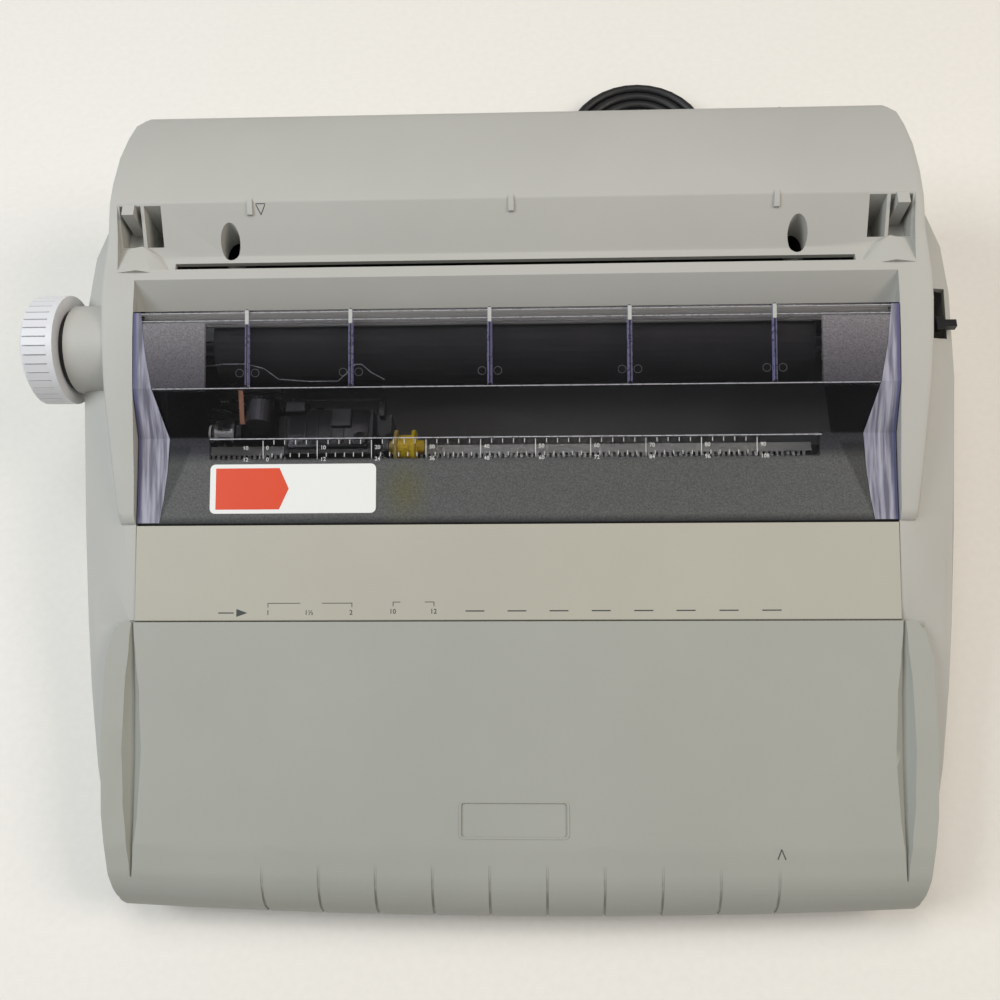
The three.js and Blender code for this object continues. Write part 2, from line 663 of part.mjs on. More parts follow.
function releaseLever() {
  const x0 = releaseSlot.x0 + lever.side;
  const top = level(lever.topShare);
  const tipY = platenAxis.y + lever.tipAhead;
  const armPoints = [
    [releaseAxis.y - lever.width, releaseAxis.z - lever.width],
    [releaseAxis.y + lever.width, releaseAxis.z - lever.width],
    [releaseAxis.y + lever.width, releaseAxis.z + lever.width],
    [tipY + lever.width / 2, top], [tipY - lever.width / 2, top],
    [releaseAxis.y - lever.width, releaseAxis.z + lever.width],
  ];
  const arm = prismX(armPoints, x0, x0 + lever.thick);
  const tabEnd = block([x0, x0 + lever.tabLength],
    [tipY - lever.tabHeight / 2, tipY + lever.tabHeight / 2], [top - lever.tabHeight, top]);
  const pin = rodX(releasePin.radius, leverPinLeft, x0 + lever.thick, releaseAxis.y, releaseAxis.z,
    smallSides);
  return join(arm, tabEnd, pin);
}

// Guide sheet from the paper slot down behind the platen
function paperPan() {
  const front = [
    [slotRear + wall, trough.floor - ovalHole.depth - gap * 2],
    [slotRear - wall, platenAxis.z + platenRadius / 2],
    [platenAxis.y + platenRadius + wall * 2, platenAxis.z],
  ];
  const back = front.toReversed().map(([y, z]) => [y + wall / 2, z]);
  return prismX([...front, ...back], plateInner.left, plateInner.right);
}

// Carriage, its shaft and rack
const carriage = {
  width: 82, fromPlate: 21.7, bayClear: 14.4, rearGap: 28, floorShare: 0.22013, shelfShare: 0.63522,
  topDrop: 16, ledgeDepth: 13,
};
const platenRise = platenAxis.z - panFloor;
const carriageLeft = plateInner.left + carriage.fromPlate;
const carriageRight = carriageLeft + carriage.width;
const carriageY = [panelRear.y + carriage.bayClear, platenAxis.y - carriage.rearGap];
const ledge = carriageY[1] - carriage.ledgeDepth;
const carriageFloor = panFloor + platenRise * carriage.floorShare;
const shelf = panFloor + platenRise * carriage.shelfShare;
const carriageTop = platenAxis.z - carriage.topDrop;
const guideShaft = { ahead: 38, up: 10, radius: 5 };
const guideAxis = { y: platenAxis.y - guideShaft.ahead, z: carriageFloor + guideShaft.up };
const rack = { ahead: 54, width: 10, up: 2, height: 5, pitch: 6, depth: 2.2 };
const rackY = [platenAxis.y - rack.ahead, platenAxis.y - rack.ahead + rack.width];
const rackZ = [shelf + rack.up, shelf + rack.up + rack.height];
const wheelClear = 13.5;
const wheel = { fromLeft: 21, behind: 2, thick: 1.4, hub: 9, petals: 26, rootShare: 0.55 };
const wheelRadius = (platenRise - wheelClear) / 2;
const wheelPlace = { x: carriageLeft + wheel.fromLeft, z: platenAxis.z - wheelRadius };
const wheelY = carriageY[1] + wheel.behind;
const wheelMotor = { radius: 11, shaft: 1.6 };
const driveGear = { tip: 5.7, root: 4.2, teeth: 9, fromRight: 21, bore: 1.8 };
const drivePlace = { x: carriageRight - driveGear.fromRight, y: rackY[0] - driveGear.tip - gap };
const driveMotor = { radius: 11, shaft: 1.5 };
const hammer = { radius: 6, drop: 2.5, set: 2, nose: 2 };
const hammerZ = platenAxis.z - hammer.drop;
const cassette = {
  left: 33, right: 7, depth: 25, set: 2, height: 9, noseWidth: 10, noseShare: 1.5, gripShare: 1.4,
};
const pinSpool = { left: 1, width: 9, ahead: 1, up: 9.5, radius: 3.2, flange: 6.2, bearing: 1.5 };
const tapeSpool = { right: 3, width: 10, ahead: 6.5, up: 4, radius: 8.5, core: 6, hub: 3.4, knob: 4 };
const cardGuide = { left: 2, right: 3, behind: 7.2, thick: 1.2, bottomUp: 2, topUp: 20 };
const flangeShare = 1 / 6;

const pinSpoolPlace = {
  x0: carriageLeft + pinSpool.left, x1: carriageLeft + pinSpool.left + pinSpool.width,
  y: ledge - pinSpool.ahead, z: carriageTop + pinSpool.up,
};
const tapeSpoolPlace = {
  x0: carriageRight + tapeSpool.right, x1: carriageRight + tapeSpool.right + tapeSpool.width,
  y: ledge - tapeSpool.ahead, z: carriageTop + tapeSpool.up,
};

function carriageRack() {
  const x0 = plateInner.left;
  const teeth = Math.floor((plateInner.right - x0) / rack.pitch);
  const points = [[x0, rackY[1]], [x0, rackY[0] + rack.depth]];
  const toothShares = [[0.2, 1], [0.35, 0], [0.65, 0], [0.8, 1]];
  for (let tooth = 0; tooth < teeth; tooth += 1) {
    for (const [pitchShare, depthShare] of toothShares) {
      points.push([x0 + (tooth + pitchShare) * rack.pitch, rackY[0] + rack.depth * depthShare]);
    }
  }
  points.push([plateInner.right, rackY[0] + rack.depth], [plateInner.right, rackY[1]]);
  return prismZ(points.toReversed(), ...rackZ);
}

function carriageFrame() {
  const lower = block([carriageLeft, carriageRight], carriageY, [carriageFloor, shelf]);
  const upper = block([carriageLeft, carriageRight], [ledge, carriageY[1]], [shelf - wall, carriageTop]);
  const pins = pinSpoolPlace;
  const ears = [pins.x0 - wall - gap, pins.x1 + gap].map((x) => prismX([
    [ledge, carriageTop - wall], [carriageY[1] - wall, carriageTop - wall],
    [pins.y + pinSpool.radius, pins.z + pinSpool.radius],
    [pins.y - pinSpool.radius, pins.z + pinSpool.radius],
  ], x, x + wall));
  const cardX = carriageRight - cardGuide.right;
  const arm = block([cardX - wall, cardX], [carriageY[1] - wall, carriageY[1] + cardGuide.behind - gap],
    [carriageTop - wall * 2, carriageTop + cardGuide.bottomUp + wall]);
  const tape = tapeSpoolPlace;
  const tapeEar = prismX([
    [ledge + wall, carriageTop - wall * 2], [ledge + wall, carriageTop],
    [tape.y + tapeSpool.hub, tape.z + tapeSpool.hub], [tape.y - tapeSpool.hub, tape.z + tapeSpool.hub],
    [tape.y - tapeSpool.hub, carriageTop], [tape.y, carriageTop - wall],
  ], carriageRight - wall, carriageRight);
  return cut(join(lower, upper, ...ears, tapeEar, arm),
    rodX(guideShaft.radius + gap, carriageLeft - wall, carriageRight + wall, guideAxis.y, guideAxis.z),
    rodY(wheelMotor.radius + gap, ledge + gap, carriageY[1] + wall, wheelPlace.x, wheelPlace.z),
    rodZ(driveMotor.radius + gap, carriageFloor - wall, shelf - wall, drivePlace.x, drivePlace.y),
    rodZ(driveMotor.shaft + gap, carriageFloor, shelf + wall, drivePlace.x, drivePlace.y, smallSides),
    rodX(pinSpool.bearing + gap, pins.x0 - wall * 2, pins.x1 + wall * 2, pins.y, pins.z, smallSides),
  );
}

function daisyWheel() {
  const points = toothedOutline(wheelRadius, wheelRadius * wheel.rootShare, wheel.petals,
    wheelPlace.x, wheelPlace.z);
  const disc = prismY(points, wheelY, wheelY + wheel.thick);
  const hub = rodY(wheel.hub, wheelY - gap, wheelY + wheel.thick * 2, wheelPlace.x, wheelPlace.z);
  const bore = rodY(wheelMotor.shaft + gap, carriageY[1], wheelY + wheel.thick * 3,
    wheelPlace.x, wheelPlace.z, smallSides);
  return cut(join(disc, hub), bore);
}

function wheelMotorSolid() {
  return join(
    rodY(wheelMotor.radius, ledge + gap * 2, carriageY[1], wheelPlace.x, wheelPlace.z),
    rodY(wheelMotor.shaft, carriageY[1] - wall, wheelY + wheel.thick, wheelPlace.x, wheelPlace.z,
      smallSides));
}

function driveMotorSolid() {
  return join(
    rodZ(driveMotor.radius, carriageFloor, shelf - wall - gap, drivePlace.x, drivePlace.y),
    rodZ(driveMotor.shaft, shelf - wall * 2, rackZ[1], drivePlace.x, drivePlace.y, smallSides));
}

function drivePinion() {
  const { tip, root, teeth } = driveGear;
  return cut(
    prismZ(toothedOutline(tip, root, teeth, drivePlace.x, drivePlace.y), ...rackZ),
    rodZ(driveGear.bore, rackZ[0] - wall, rackZ[1] + wall, drivePlace.x, drivePlace.y, smallSides));
}

function printHammer() {
  const x = wheelPlace.x;
  const y0 = ledge + hammer.set;
  return join(
    rodY(hammer.radius, y0, carriageY[1], x, hammerZ),
    block([x - hammer.radius, x + hammer.radius], [y0 + gap, carriageY[1] - gap],
      [carriageTop + gap, hammerZ]),
    rodY(hammer.nose, carriageY[1] - gap, wheelY - gap, x, hammerZ, smallSides));
}

function ribbonCassette() {
  const z0 = carriageTop + gap;
  const x0 = carriageLeft + cassette.left;
  const x1 = carriageRight - cassette.right;
  const y1 = carriageY[1] - cassette.set;
  const box = block([x0, x1], [carriageY[1] - cassette.depth, y1], [z0, z0 + cassette.height]);
  const nose = block([x0, x0 + cassette.noseWidth], [y1 - wall, wheelY - gap * 2],
    [z0, z0 + cassette.height * cassette.noseShare]);
  const grip = block([x1 - cassette.noseWidth * 2, x1 - cassette.noseWidth], [y1 - cassette.noseWidth, y1],
    [z0, z0 + cassette.height * cassette.gripShare]);
  return join(box, nose, grip);
}

function spoolX(spot, core, flange, axle) {
  const flangeThick = (spot.x1 - spot.x0) * flangeShare;
  const flanges = [spot.x0, spot.x1 - flangeThick].map((x) =>
    rodX(flange, x, x + flangeThick, spot.y, spot.z));
  return join(rodX(core, spot.x0, spot.x1, spot.y, spot.z), ...flanges, axle);
}

function pinSpoolSolid() {
  const spot = pinSpoolPlace;
  const pin = rodX(pinSpool.bearing, spot.x0 - wall, spot.x1 + wall, spot.y, spot.z, smallSides);
  return spoolX(spot, pinSpool.radius, pinSpool.flange, pin);
}

function tapeSpoolSolid() {
  const spot = tapeSpoolPlace;
  const hub = rodX(tapeSpool.hub, carriageRight + gap, spot.x1 + tapeSpool.knob, spot.y, spot.z, smallSides);
  return spoolX(spot, tapeSpool.core, tapeSpool.radius, hub);
}

function cardGuideSolid() {
  const y = carriageY[1] + cardGuide.behind;
  const sheet = block([carriageLeft - cardGuide.left, carriageRight - cardGuide.right],
    [y, y + cardGuide.thick], [carriageTop + cardGuide.bottomUp, carriageTop + cardGuide.topUp]);
  const window = block([wheelPlace.x - cassette.noseWidth, wheelPlace.x + cassette.noseWidth],
    [y - wall, y + wall], [carriageTop + cardGuide.topUp - cassette.noseWidth, high]);
  return sheet.subtract(window);
}

// Clear cover over the bay, hinged at its rear edge
const hoodFront = { y: panelRear.y + gap, z: panelRear.z };
const [hoodBreak, hoodRear] = [hood.breakHigh, hood.rear].map(hoodPlace);

function hoodPlace({ behind, above }) {
  return { y: platenAxis.y + behind, z: platenAxis.z + above };
}

function hoodLine(drop) {
  return [hoodFront, hoodPlace(hood.scale), hoodPlace(hood.breakLow), hoodBreak, hoodRear]
    .map(({ y, z }) => [y, z - drop]);
}

function clearCover() {
  const outer = prismX([...hoodLine(0), ...hoodLine(hood.side).toReversed()], -hoodHalf, hoodHalf);
  const inner = prismX([...hoodLine(hood.thick), ...hoodLine(hood.side + overrun).toReversed()]
    .map(([y, z]) => [Math.min(Math.max(y, hoodFront.y + hood.thick), hoodRear.y + overrun), z]),
  -hoodHalf + hood.thick, hoodHalf - hood.thick);
  const ribs = hood.ribs.map((x) => prismX([
    [hoodBreak.y, hoodBreak.z - hood.thick / 2], [hoodRear.y, hoodRear.z - hood.thick / 2],
    [hoodRear.y, hoodRear.z + hood.ribHeight / 2], [hoodBreak.y, hoodBreak.z + hood.ribHeight],
  ], x - hood.ribWidth / 2, x + hood.ribWidth / 2));
  return join(outer.subtract(inner), ...ribs);
}

// Removable keyboard cover: a sloping lid with a rounded brow, bowed out at the front
const cover = {
  rear: { y: panelFront.y - gap * 2, z: panelFront.z }, middle: { y: deep(-0.57895), z: level(0.35556) },
  bend: { y: deep(-0.84211), z: level(0.27556) }, brow: { y: deep(-0.94211), z: level(0.23111) },
  nose: { y: deep(-0.98947), z: level(0.15111) }, lip: { y: deep(-1), z: level(0.05333) },
  wall: 2.6, underShare: 1.2, cornerIn: 9.5, bow: 4.7, sideDrop: 9,
  grooves: 10, groovePitch: 25.4, grooveStart: -112.4, grooveWidth: 1.2, grooveTopShare: -0.88947,
  plateHalf: 23.6, plateRearShare: -0.74895, plateFrontShare: -0.82526, plateDepth: 0.5,
};
const coverWidthShares = [
  [0.952, 0.965], [0.965, 0.915], [0.987, 0.78], [1.000, 0.6], [0.998, 0.42], [0.982, 0.36], [0.965, 0.335],
];
const bowStationShares = [-1.2, -1, -0.8, -0.6, -0.4, -0.2, 0, 0.2, 0.4, 0.6, 0.8, 1, 1.2];
const grip = {
  x: 14.5, halfWidth: 4.5, frontIn: 4.6, topShare: -0.33421, bottomShare: -0.91789, depth: 5,
  floor: 1.3, stand: 2, endShare: 0.12,
};
const gripStationShares = [0, 0.12, 0.28, 0.5, 0.72, 0.88, 1];

// How far the cover's front edge falls back at a place across its width
function bowAt(x) {
  return cover.bow * (x / coverHalfWidth) ** 2;
}

function coverLine(drop, back) {
  const line = [cover.rear, cover.middle, cover.bend, cover.brow, cover.nose, cover.lip];
  return line.map(({ y, z }, i) => {
    const share = (i / (line.length - 1)) ** 2;
    return [y + back * share, z - drop * (1 - share)];
  });
}

// Height of the cover's top over a place along the depth
function coverTop(y) {
  const line = coverLine(0, 0);
  const i = Math.max(line.findIndex(([lineY]) => lineY < y), 1);
  const [[y0, z0], [y1, z1]] = [line[i - 1], line[i]];
  return z0 + ((y - y0) / (y1 - y0)) * (z1 - z0);
}

function coverPlan(inset) {
  const right = coverWidthShares.map(([xShare, yShare]) => [coverHalfWidth * xShare - inset, -deep(yShare)]);
  const half = [[coverHalfWidth - cover.cornerIn - inset, -bodyHalfDepth - overrun], ...right];
  half[half.length - 1][1] += inset;
  return [...half, ...half.toReversed().map(([x, y]) => [-x, y])];
}

// A section of the cover drawn across the machine, its front points following the bow
function bowedPrism(profile) {
  return loft(bowStationShares.map((stationShare) => {
    const x = coverHalfWidth * stationShare;
    return profile.map(([y, z]) => {
      const share = Math.min(Math.max((cover.bend.y - y) / (cover.bend.y - cover.nose.y), 0), 1);
      return [x, y + bowAt(x) * share, z];
    });
  }), [1, 2]);
}

function gripLoft(side, margin) {
  const [rear, front] = [deep(grip.topShare) + margin, deep(grip.bottomShare) - margin];
  return loft(gripStationShares.map((stationShare) => {
    const y = rear + (front - rear) * stationShare;
    const x = coverHalfWidth - grip.x - grip.frontIn * (stationShare - 1 / 2);
    const swell = Math.max(Math.sin(Math.PI * stationShare), grip.endShare);
    const top = coverTop(Math.min(Math.max(y, cover.brow.y), cover.rear.y));
    const depth = (grip.depth + margin) * Math.sqrt(swell);
    const half = ((grip.halfWidth + margin) * swell * (depth + grip.stand)) / depth;
    const ring = [[x - half, y, top + grip.stand], [x, y, top - depth], [x + half, y, top + grip.stand]];
    return ring.map(([a, b, c]) => [side * a, b, c]);
  }));
}

function keyboardCover() {
  const bottomRear = [cover.rear.y, cover.rear.z - cover.sideDrop];
  const bottomFront = [cover.brow.y, cover.lip.z + wall];
  const whole = bowedPrism([...coverLine(0, 0), bottomFront, bottomRear])
    .intersect(prismZ(coverPlan(0), 0, bodyHeight));
  const under = coverLine(cover.wall, cover.wall * cover.underShare);
  const hollow = bowedPrism([...under, [cover.lip.y + cover.wall, 0], [cover.rear.y - cover.wall, 0]])
    .intersect(prismZ(coverPlan(cover.wall), -overrun, bodyHeight));
  const bosses = [-1, 1].map((side) => gripLoft(side, grip.floor).intersect(whole));
  const body = clearOfDeck(join(whole.subtract(hollow), ...bosses));
  const grooves = Array.from({ length: cover.grooves }, (_, i) => {
    const x = cover.grooveStart + i * cover.groovePitch;
    const inset = cover.grooveWidth / 2;
    const back = bowAt(x) + inset;
    return prismX([
      [deep(cover.grooveTopShare), high], [deep(cover.grooveTopShare), cover.bend.z - wall],
      [cover.brow.y + back / 2, cover.brow.z - inset], [cover.nose.y + back, cover.nose.z - inset],
      [cover.lip.y + back, cover.lip.z], [cover.lip.y + back, cover.lip.z - wall],
      [cover.lip.y - overrun, cover.lip.z - wall], [cover.lip.y - overrun, high],
    ], x - inset, x + inset);
  });
  const plateY = [deep(cover.plateRearShare), deep(cover.plateFrontShare)];
  const plateZ = plateY.map((y) => coverTop(y) - cover.plateDepth);
  const plateRecess = prismX([
    [plateY[0], high], [plateY[0], plateZ[0]], [plateY[1], plateZ[1]], [plateY[1], high],
  ], -cover.plateHalf, cover.plateHalf);
  return cut(body, plateRecess, ...[-1, 1].map((side) => gripLoft(side, 0)), ...grooves);
}

// The cover stands just clear of the deck under it
function clearOfDeck(solid) {
  return solid.subtract(loft(deckShares.map((row) => deckRing(row, -gap))));
}

// Control panel between the covers
function controlPanel() {
  const half = bayHalfWidth - gap;
  const rear = panelRear.y - gap;
  return prismX([
    [panelFront.y, panelFront.z - panelThickness], [rear, sloped(rear) - panelThickness],
    [rear, sloped(rear)], [panelFront.y, panelFront.z],
  ], -half, half);
}

// Keyboard: a sloping frame, a board under it, and sprung caps
const keys = {
  between: 2.05, narrowing: 2.3, capHeight: 7.5, carrier: 3, carrierDepth: 11, stem: 4, stemDrop: 11,
  travel: 3, topShift: 1, fromRear: 14, endRoom: 14.75, firstShare: 0.27111, lastShare: 0.16089,
};
const rowPlans = [
  { name: 'number_row_keys', left: 0, count: 13, right: 2, rightName: 'backspace_key' },
  {
    name: 'upper_row_keys', left: 1.5, leftName: 'tab_key', count: 12, right: 1.5, rightName: 'relocate_key',
  },
  {
    name: 'home_row_keys', left: 1.75, leftName: 'lock_key', count: 11, right: 2.25, rightName: 'return_key',
  },
  {
    name: 'lower_row_keys', left: 2.25, leftName: 'left_shift_key', count: 10, right: 2.75,
    rightName: 'right_shift_key',
  },
];
const codeKey = { units: 1.5, place: -5.5 };
const spaceBar = { units: 8, place: 0 };
const rowCount = rowPlans.length + 1;
const rowPitch = (keyWell.rear - keyWell.front - keys.endRoom) / rowCount;
const firstRow = { y: keyWell.rear - keys.fromRear, z: level(keys.firstShare) };
const rowDrop = (firstRow.z - level(keys.lastShare)) / (rowCount - 1);
const halfRow = keyUnits * keyPitch / 2;
const frameMargin = 2;
const frameFront = keyWell.front + frameMargin;
const frameRear = keyWell.rear - frameMargin;
const frameThick = 2.5;
const frameDrop = keys.capHeight + keys.travel + gap * 2;
const frameSheetDrop = frameDrop - keys.carrier;
const boardHalf = halfRow - keys.stem;
const boardDrop = keys.stemDrop + keys.travel + gap * 2;
const boardThick = 1.6;

function rowHeight(row) {
  return firstRow.z - row * rowDrop;
}

function rowPlace(row) {
  return firstRow.y - row * rowPitch;
}

function keyCap(x, row, units) {
  const geometry = new THREE.BoxGeometry(
    units * keyPitch - keys.between, rowPitch - keys.between, keys.capHeight);
  const position = geometry.attributes.position;
  for (let i = 0; i < position.count; i += 1) {
    if (position.getZ(i) > 0) {
      position.setX(i, position.getX(i) - Math.sign(position.getX(i)) * keys.narrowing);
      position.setY(i, position.getY(i) - Math.sign(position.getY(i)) * keys.narrowing + keys.topShift);
    }
  }
  geometry.translate(x, rowPlace(row), rowHeight(row) + keys.capHeight / 2);
  return toSolid(geometry);
}

function stemBox(x, row, clearance) {
  const half = keys.stem / 2 + clearance;
  const y = rowPlace(row);
  return block([x - half, x + half], [y - half, y + half],
    [rowHeight(row) - keys.stemDrop, rowHeight(row) + keys.capHeight / 3]);
}

const keyStems = [];

function rowKeys(plan, row) {
  const start = plan.left * keyPitch - halfRow;
  const centres = Array.from({ length: plan.count }, (_, i) => start + (i + 1 / 2) * keyPitch);
  const y = rowPlace(row);
  const z = rowHeight(row);
  const half = keys.carrierDepth / 2;
  const carrier = block([centres[0] - half, centres[plan.count - 1] + half], [y - half, y + half],
    [z - keys.carrier + wall / 2, z + wall / 2]);
  const stems = [centres[1], centres[plan.count - 2]];
  keyStems.push(...stems.map((x) => [x, row]));
  return join(carrier, ...centres.map((x) => keyCap(x, row, 1)), ...stems.map((x) => stemBox(x, row, 0)));
}

function singleKey(x, row, units) {
  keyStems.push([x, row]);
  return join(keyCap(x, row, units), stemBox(x, row, 0));
}

function slopeHeight(y) {
  return firstRow.z + (y - firstRow.y) * (rowDrop / rowPitch);
}

function slopeBlock(across, [y0, y1], drop, thick) {
  const [z0, z1] = [slopeHeight(y0) - drop, slopeHeight(y1) - drop];
  return prismX([[y0, z0 - thick], [y1, z1 - thick], [y1, z1], [y0, z0]], ...across);
}

function keyboardBoard() {
  const along = [frameFront + keys.carrierDepth + gap, frameRear - keys.carrierDepth - gap];
  const sheet = slopeBlock([-boardHalf, boardHalf], along, boardDrop, boardThick);
  const railDrop = frameSheetDrop + frameThick + gap;
  const rails = [-1, 1].map((side) => slopeBlock(sideSpan(side, boardHalf - keys.stem, boardHalf), along,
    railDrop, boardDrop - railDrop + boardThick / 2));
  return join(sheet, ...rails);
}

function keyboardFrame() {
  const half = halfRow + keys.carrier;
  const sheet = slopeBlock([-half, half], [frameFront, frameRear], frameSheetDrop, frameThick);
  const holes = keyStems.map(([x, row]) => stemBox(x, row, gap));
  const legs = [-1, 1].flatMap((side) => [frameFront, frameRear - keys.carrierDepth].map((y) => block(
    sideSpan(side, half - keys.stem, half), [y, y + keys.carrierDepth],
    [panFloor + gap, slopeHeight(y) - frameDrop + wall])));
  return cut(join(sheet, ...legs), ...holes);
}

// Boards and supply inside the rear of the housing, as shares of the bay's half width
const board = {
  leftShare: -0.854, rightShare: 0.342, ahead: 80, behind: 14, lift: 6, thick: 1.6, post: 5,
  chipShares: [0.2, 0.45, 0.75], chipWidth: 25, chipIn: 25, chipDepth: 15,
};
const transformer = {
  leftShare: 0.478, rightShare: 0.831, ahead: 72, behind: 18, height: 52, coreShare: 0.55,
};

function mainBoard() {
  const [x0, x1] = [bayHalfWidth * board.leftShare, bayHalfWidth * board.rightShare];
  const [y0, y1] = [bodyHalfDepth - board.ahead, bodyHalfDepth - board.behind];
  const lift = panFloor + board.lift;
  const posts = [x0 + board.post, x1 - board.post].flatMap((x) => [y0 + board.post, y1 - board.post]
    .map((y) => rodZ(board.post / 2, panFloor + gap, lift, x, y, smallSides)));
  const chips = board.chipShares.map((share) => {
    const x = x0 + (x1 - x0) * share;
    return block([x, x + board.chipWidth], [y0 + board.chipIn, y0 + board.chipIn + board.chipDepth],
      [lift, lift + board.thick * 3]);
  });
  return join(block([x0, x1], [y0, y1], [lift - gap, lift + board.thick]), ...posts, ...chips);
}

function transformerSolid() {
  const [x0, x1] = [bayHalfWidth * transformer.leftShare, bayHalfWidth * transformer.rightShare];
  const [y0, y1] = [bodyHalfDepth - transformer.ahead, bodyHalfDepth - transformer.behind];
  const inset = ((1 - transformer.coreShare) * (x1 - x0)) / 2;
  return join(
    block([x0, x1], [y0, y1], [panFloor + gap, panFloor + transformer.height * transformer.coreShare]),
    block([x0 + inset, x1 - inset], [y0 + wall, y1 - wall],
      [panFloor + wall, panFloor + transformer.height]));
}

function powerSwitch() {
  const x0 = -bodyHalfWidth * switchPlace.faceShare;
  return block([x0, x0 + switchPlace.depth],
    [switchY - switchPlace.width / 2 + gap, switchY + switchPlace.width / 2 - gap],
    [switchPlace.level - switchPlace.height / 2 + gap, switchPlace.level + switchPlace.height / 2 - gap]);
}

// Cord, its tied coil and its plug behind the machine
const cordRadius = 2.75;
const cordSides = 8;
const relief = { length: 34, rootRadius: 6.2, tipRadius: 4, flange: 9, flangeThick: 2.5, nose: 8 };
const coil = {
  across: 94, behind: 52, outer: 44, pitch: 6, layerStep: 6, startAngle: Math.PI, turns: 8.361, steps: 24,
  sides: 6, lift: 1.25, climbTurns: 0.25,
};
const coilPlace = { x: cordExit.x + coil.across, y: bodyHalfDepth + coil.behind };
const coilFloor = coil.lift + cordRadius;
const coilEnd = coil.startAngle + coil.turns * 2 * Math.PI;
const coilEntry = coil.behind + cordRadius * 2 + gap;
// Places from the cord's exit: across, behind the machine, height over the table
const cordRoute = [
  [0, relief.length + gap, cordExitZ], [0, 38, cordExitZ], [0, 43, 21], [0.4, 49, 17.8], [1.4, 56, 12.5],
  [3.4, 62.5, 8], [7, 68.5, 4.8], [12, 73.5, 3.2], [18.5, 77, 2.9], [26, 78, 2.9], [33.2, 76.6, 2.95],
  [39.4, 73, 3.1], [44.4, 68.4, 3.5], [47.8, 64.8, 3.9], [49.7, 61.5, coilFloor], [50, 59.6, coilFloor],
  [50, coilEntry, coilFloor],
];
const routeSteps = 26;
const tie = { width: 6, thick: 0.9 };
const plug = {
  length: 32, width: 17, height: 15, neck: 9, neckRadius: 4.4, lead: 17, pin: 16, pinWide: 6.3,
  pinThick: 1.6, pinGap: 12.7,
};

function circlePoints(radius, sides) {
  return Array.from({ length: sides }, (_, k) => {
    const angle = (k / sides) * 2 * Math.PI;
    return [radius * Math.cos(angle), radius * Math.sin(angle)];
  });
}

function tangentAt(angle) {
  return new THREE.Vector3(-Math.sin(angle), Math.cos(angle), 0);
}

function coilPoints() {
  const count = Math.round(coil.turns * coil.steps);
  const points = Array.from({ length: count + 1 }, (_, i) => {
    const turn = (i / count) * coil.turns;
    const inward = Math.min(turn, coil.turns - turn);
    const past = turn - coil.turns / 2 + coil.climbTurns;
    const climb = THREE.MathUtils.smoothstep(past, 0, coil.climbTurns * 2);
    const radius = coil.outer - coil.pitch * inward;
    const angle = coil.startAngle + turn * 2 * Math.PI;
    return new THREE.Vector3(coilPlace.x + radius * Math.cos(angle), coilPlace.y + radius * Math.sin(angle),
      coilFloor + coil.layerStep * climb);
  });
  const straight = cordRadius * 2;
  points.unshift(points[0].clone().addScaledVector(tangentAt(coil.startAngle), -straight));
  points.push(points[points.length - 1].clone().addScaledVector(tangentAt(coilEnd), straight));
  return points;
}

function leastGap(points) {
  let least = Infinity;
  for (let i = 0; i < points.length; i += 1) {
    for (let j = i + coil.steps / 2; j < points.length; j += 1) {
      least = Math.min(least, points[i].distanceTo(points[j]) - cordRadius * 2);
    }
  }
  return least;
}

function cordCoil(points) {
  const up = new THREE.Vector3(0, 0, 1);
  const rings = points.map((point, i) => {
    const before = points[Math.max(i - 1, 0)];
    const after = points[Math.min(i + 1, points.length - 1)];
    const along = after.clone().sub(before).normalize();
    const side = along.clone().cross(up).normalize();
    const over = side.clone().cross(along);
    return circlePoints(cordRadius, coil.sides).map(([a, b]) =>
      point.clone().addScaledVector(side, a).addScaledVector(over, b).toArray());
  });
  return loft(rings);
}

function cordRun() {
  const curve = new THREE.CatmullRomCurve3(cordRoute.map(([across, behind, z]) =>
    new THREE.Vector3(cordExit.x + across, bodyHalfDepth + behind, z)));
  const settings = { steps: routeSteps, extrudePath: curve, bevelEnabled: false };
  return toSolid(new THREE.ExtrudeGeometry(outline(circlePoints(cordRadius, cordSides)), settings));
}

function strainRelief() {
  const profile = [
    [0, -relief.nose], [relief.rootRadius, -relief.nose], [relief.rootRadius, gap],
    [relief.flange, gap], [relief.flange, relief.flangeThick], [relief.rootRadius, relief.flangeThick + gap],
    [relief.tipRadius, relief.length], [0, relief.length],
  ].map(([r, y]) => new THREE.Vector2(r, y));
  const geometry = new THREE.LatheGeometry(profile, roundSides);
  geometry.translate(cordExit.x, bodyHalfDepth, cordExitZ);
  return toSolid(geometry);
}

function cordTie() {
  const inner = coil.outer - coil.pitch * (coil.turns / 2) - cordRadius - gap;
  const outerEdge = coil.outer + cordRadius + gap;
  const top = coilFloor + coil.layerStep + cordRadius + gap;
  const band = (out, half) => block(
    [coilPlace.x + inner - out, coilPlace.x + outerEdge + out], [coilPlace.y - half, coilPlace.y + half],
    [coil.lift - gap - out, top + out]);
  return band(tie.thick, tie.width / 2).subtract(band(0, tie.width));
}

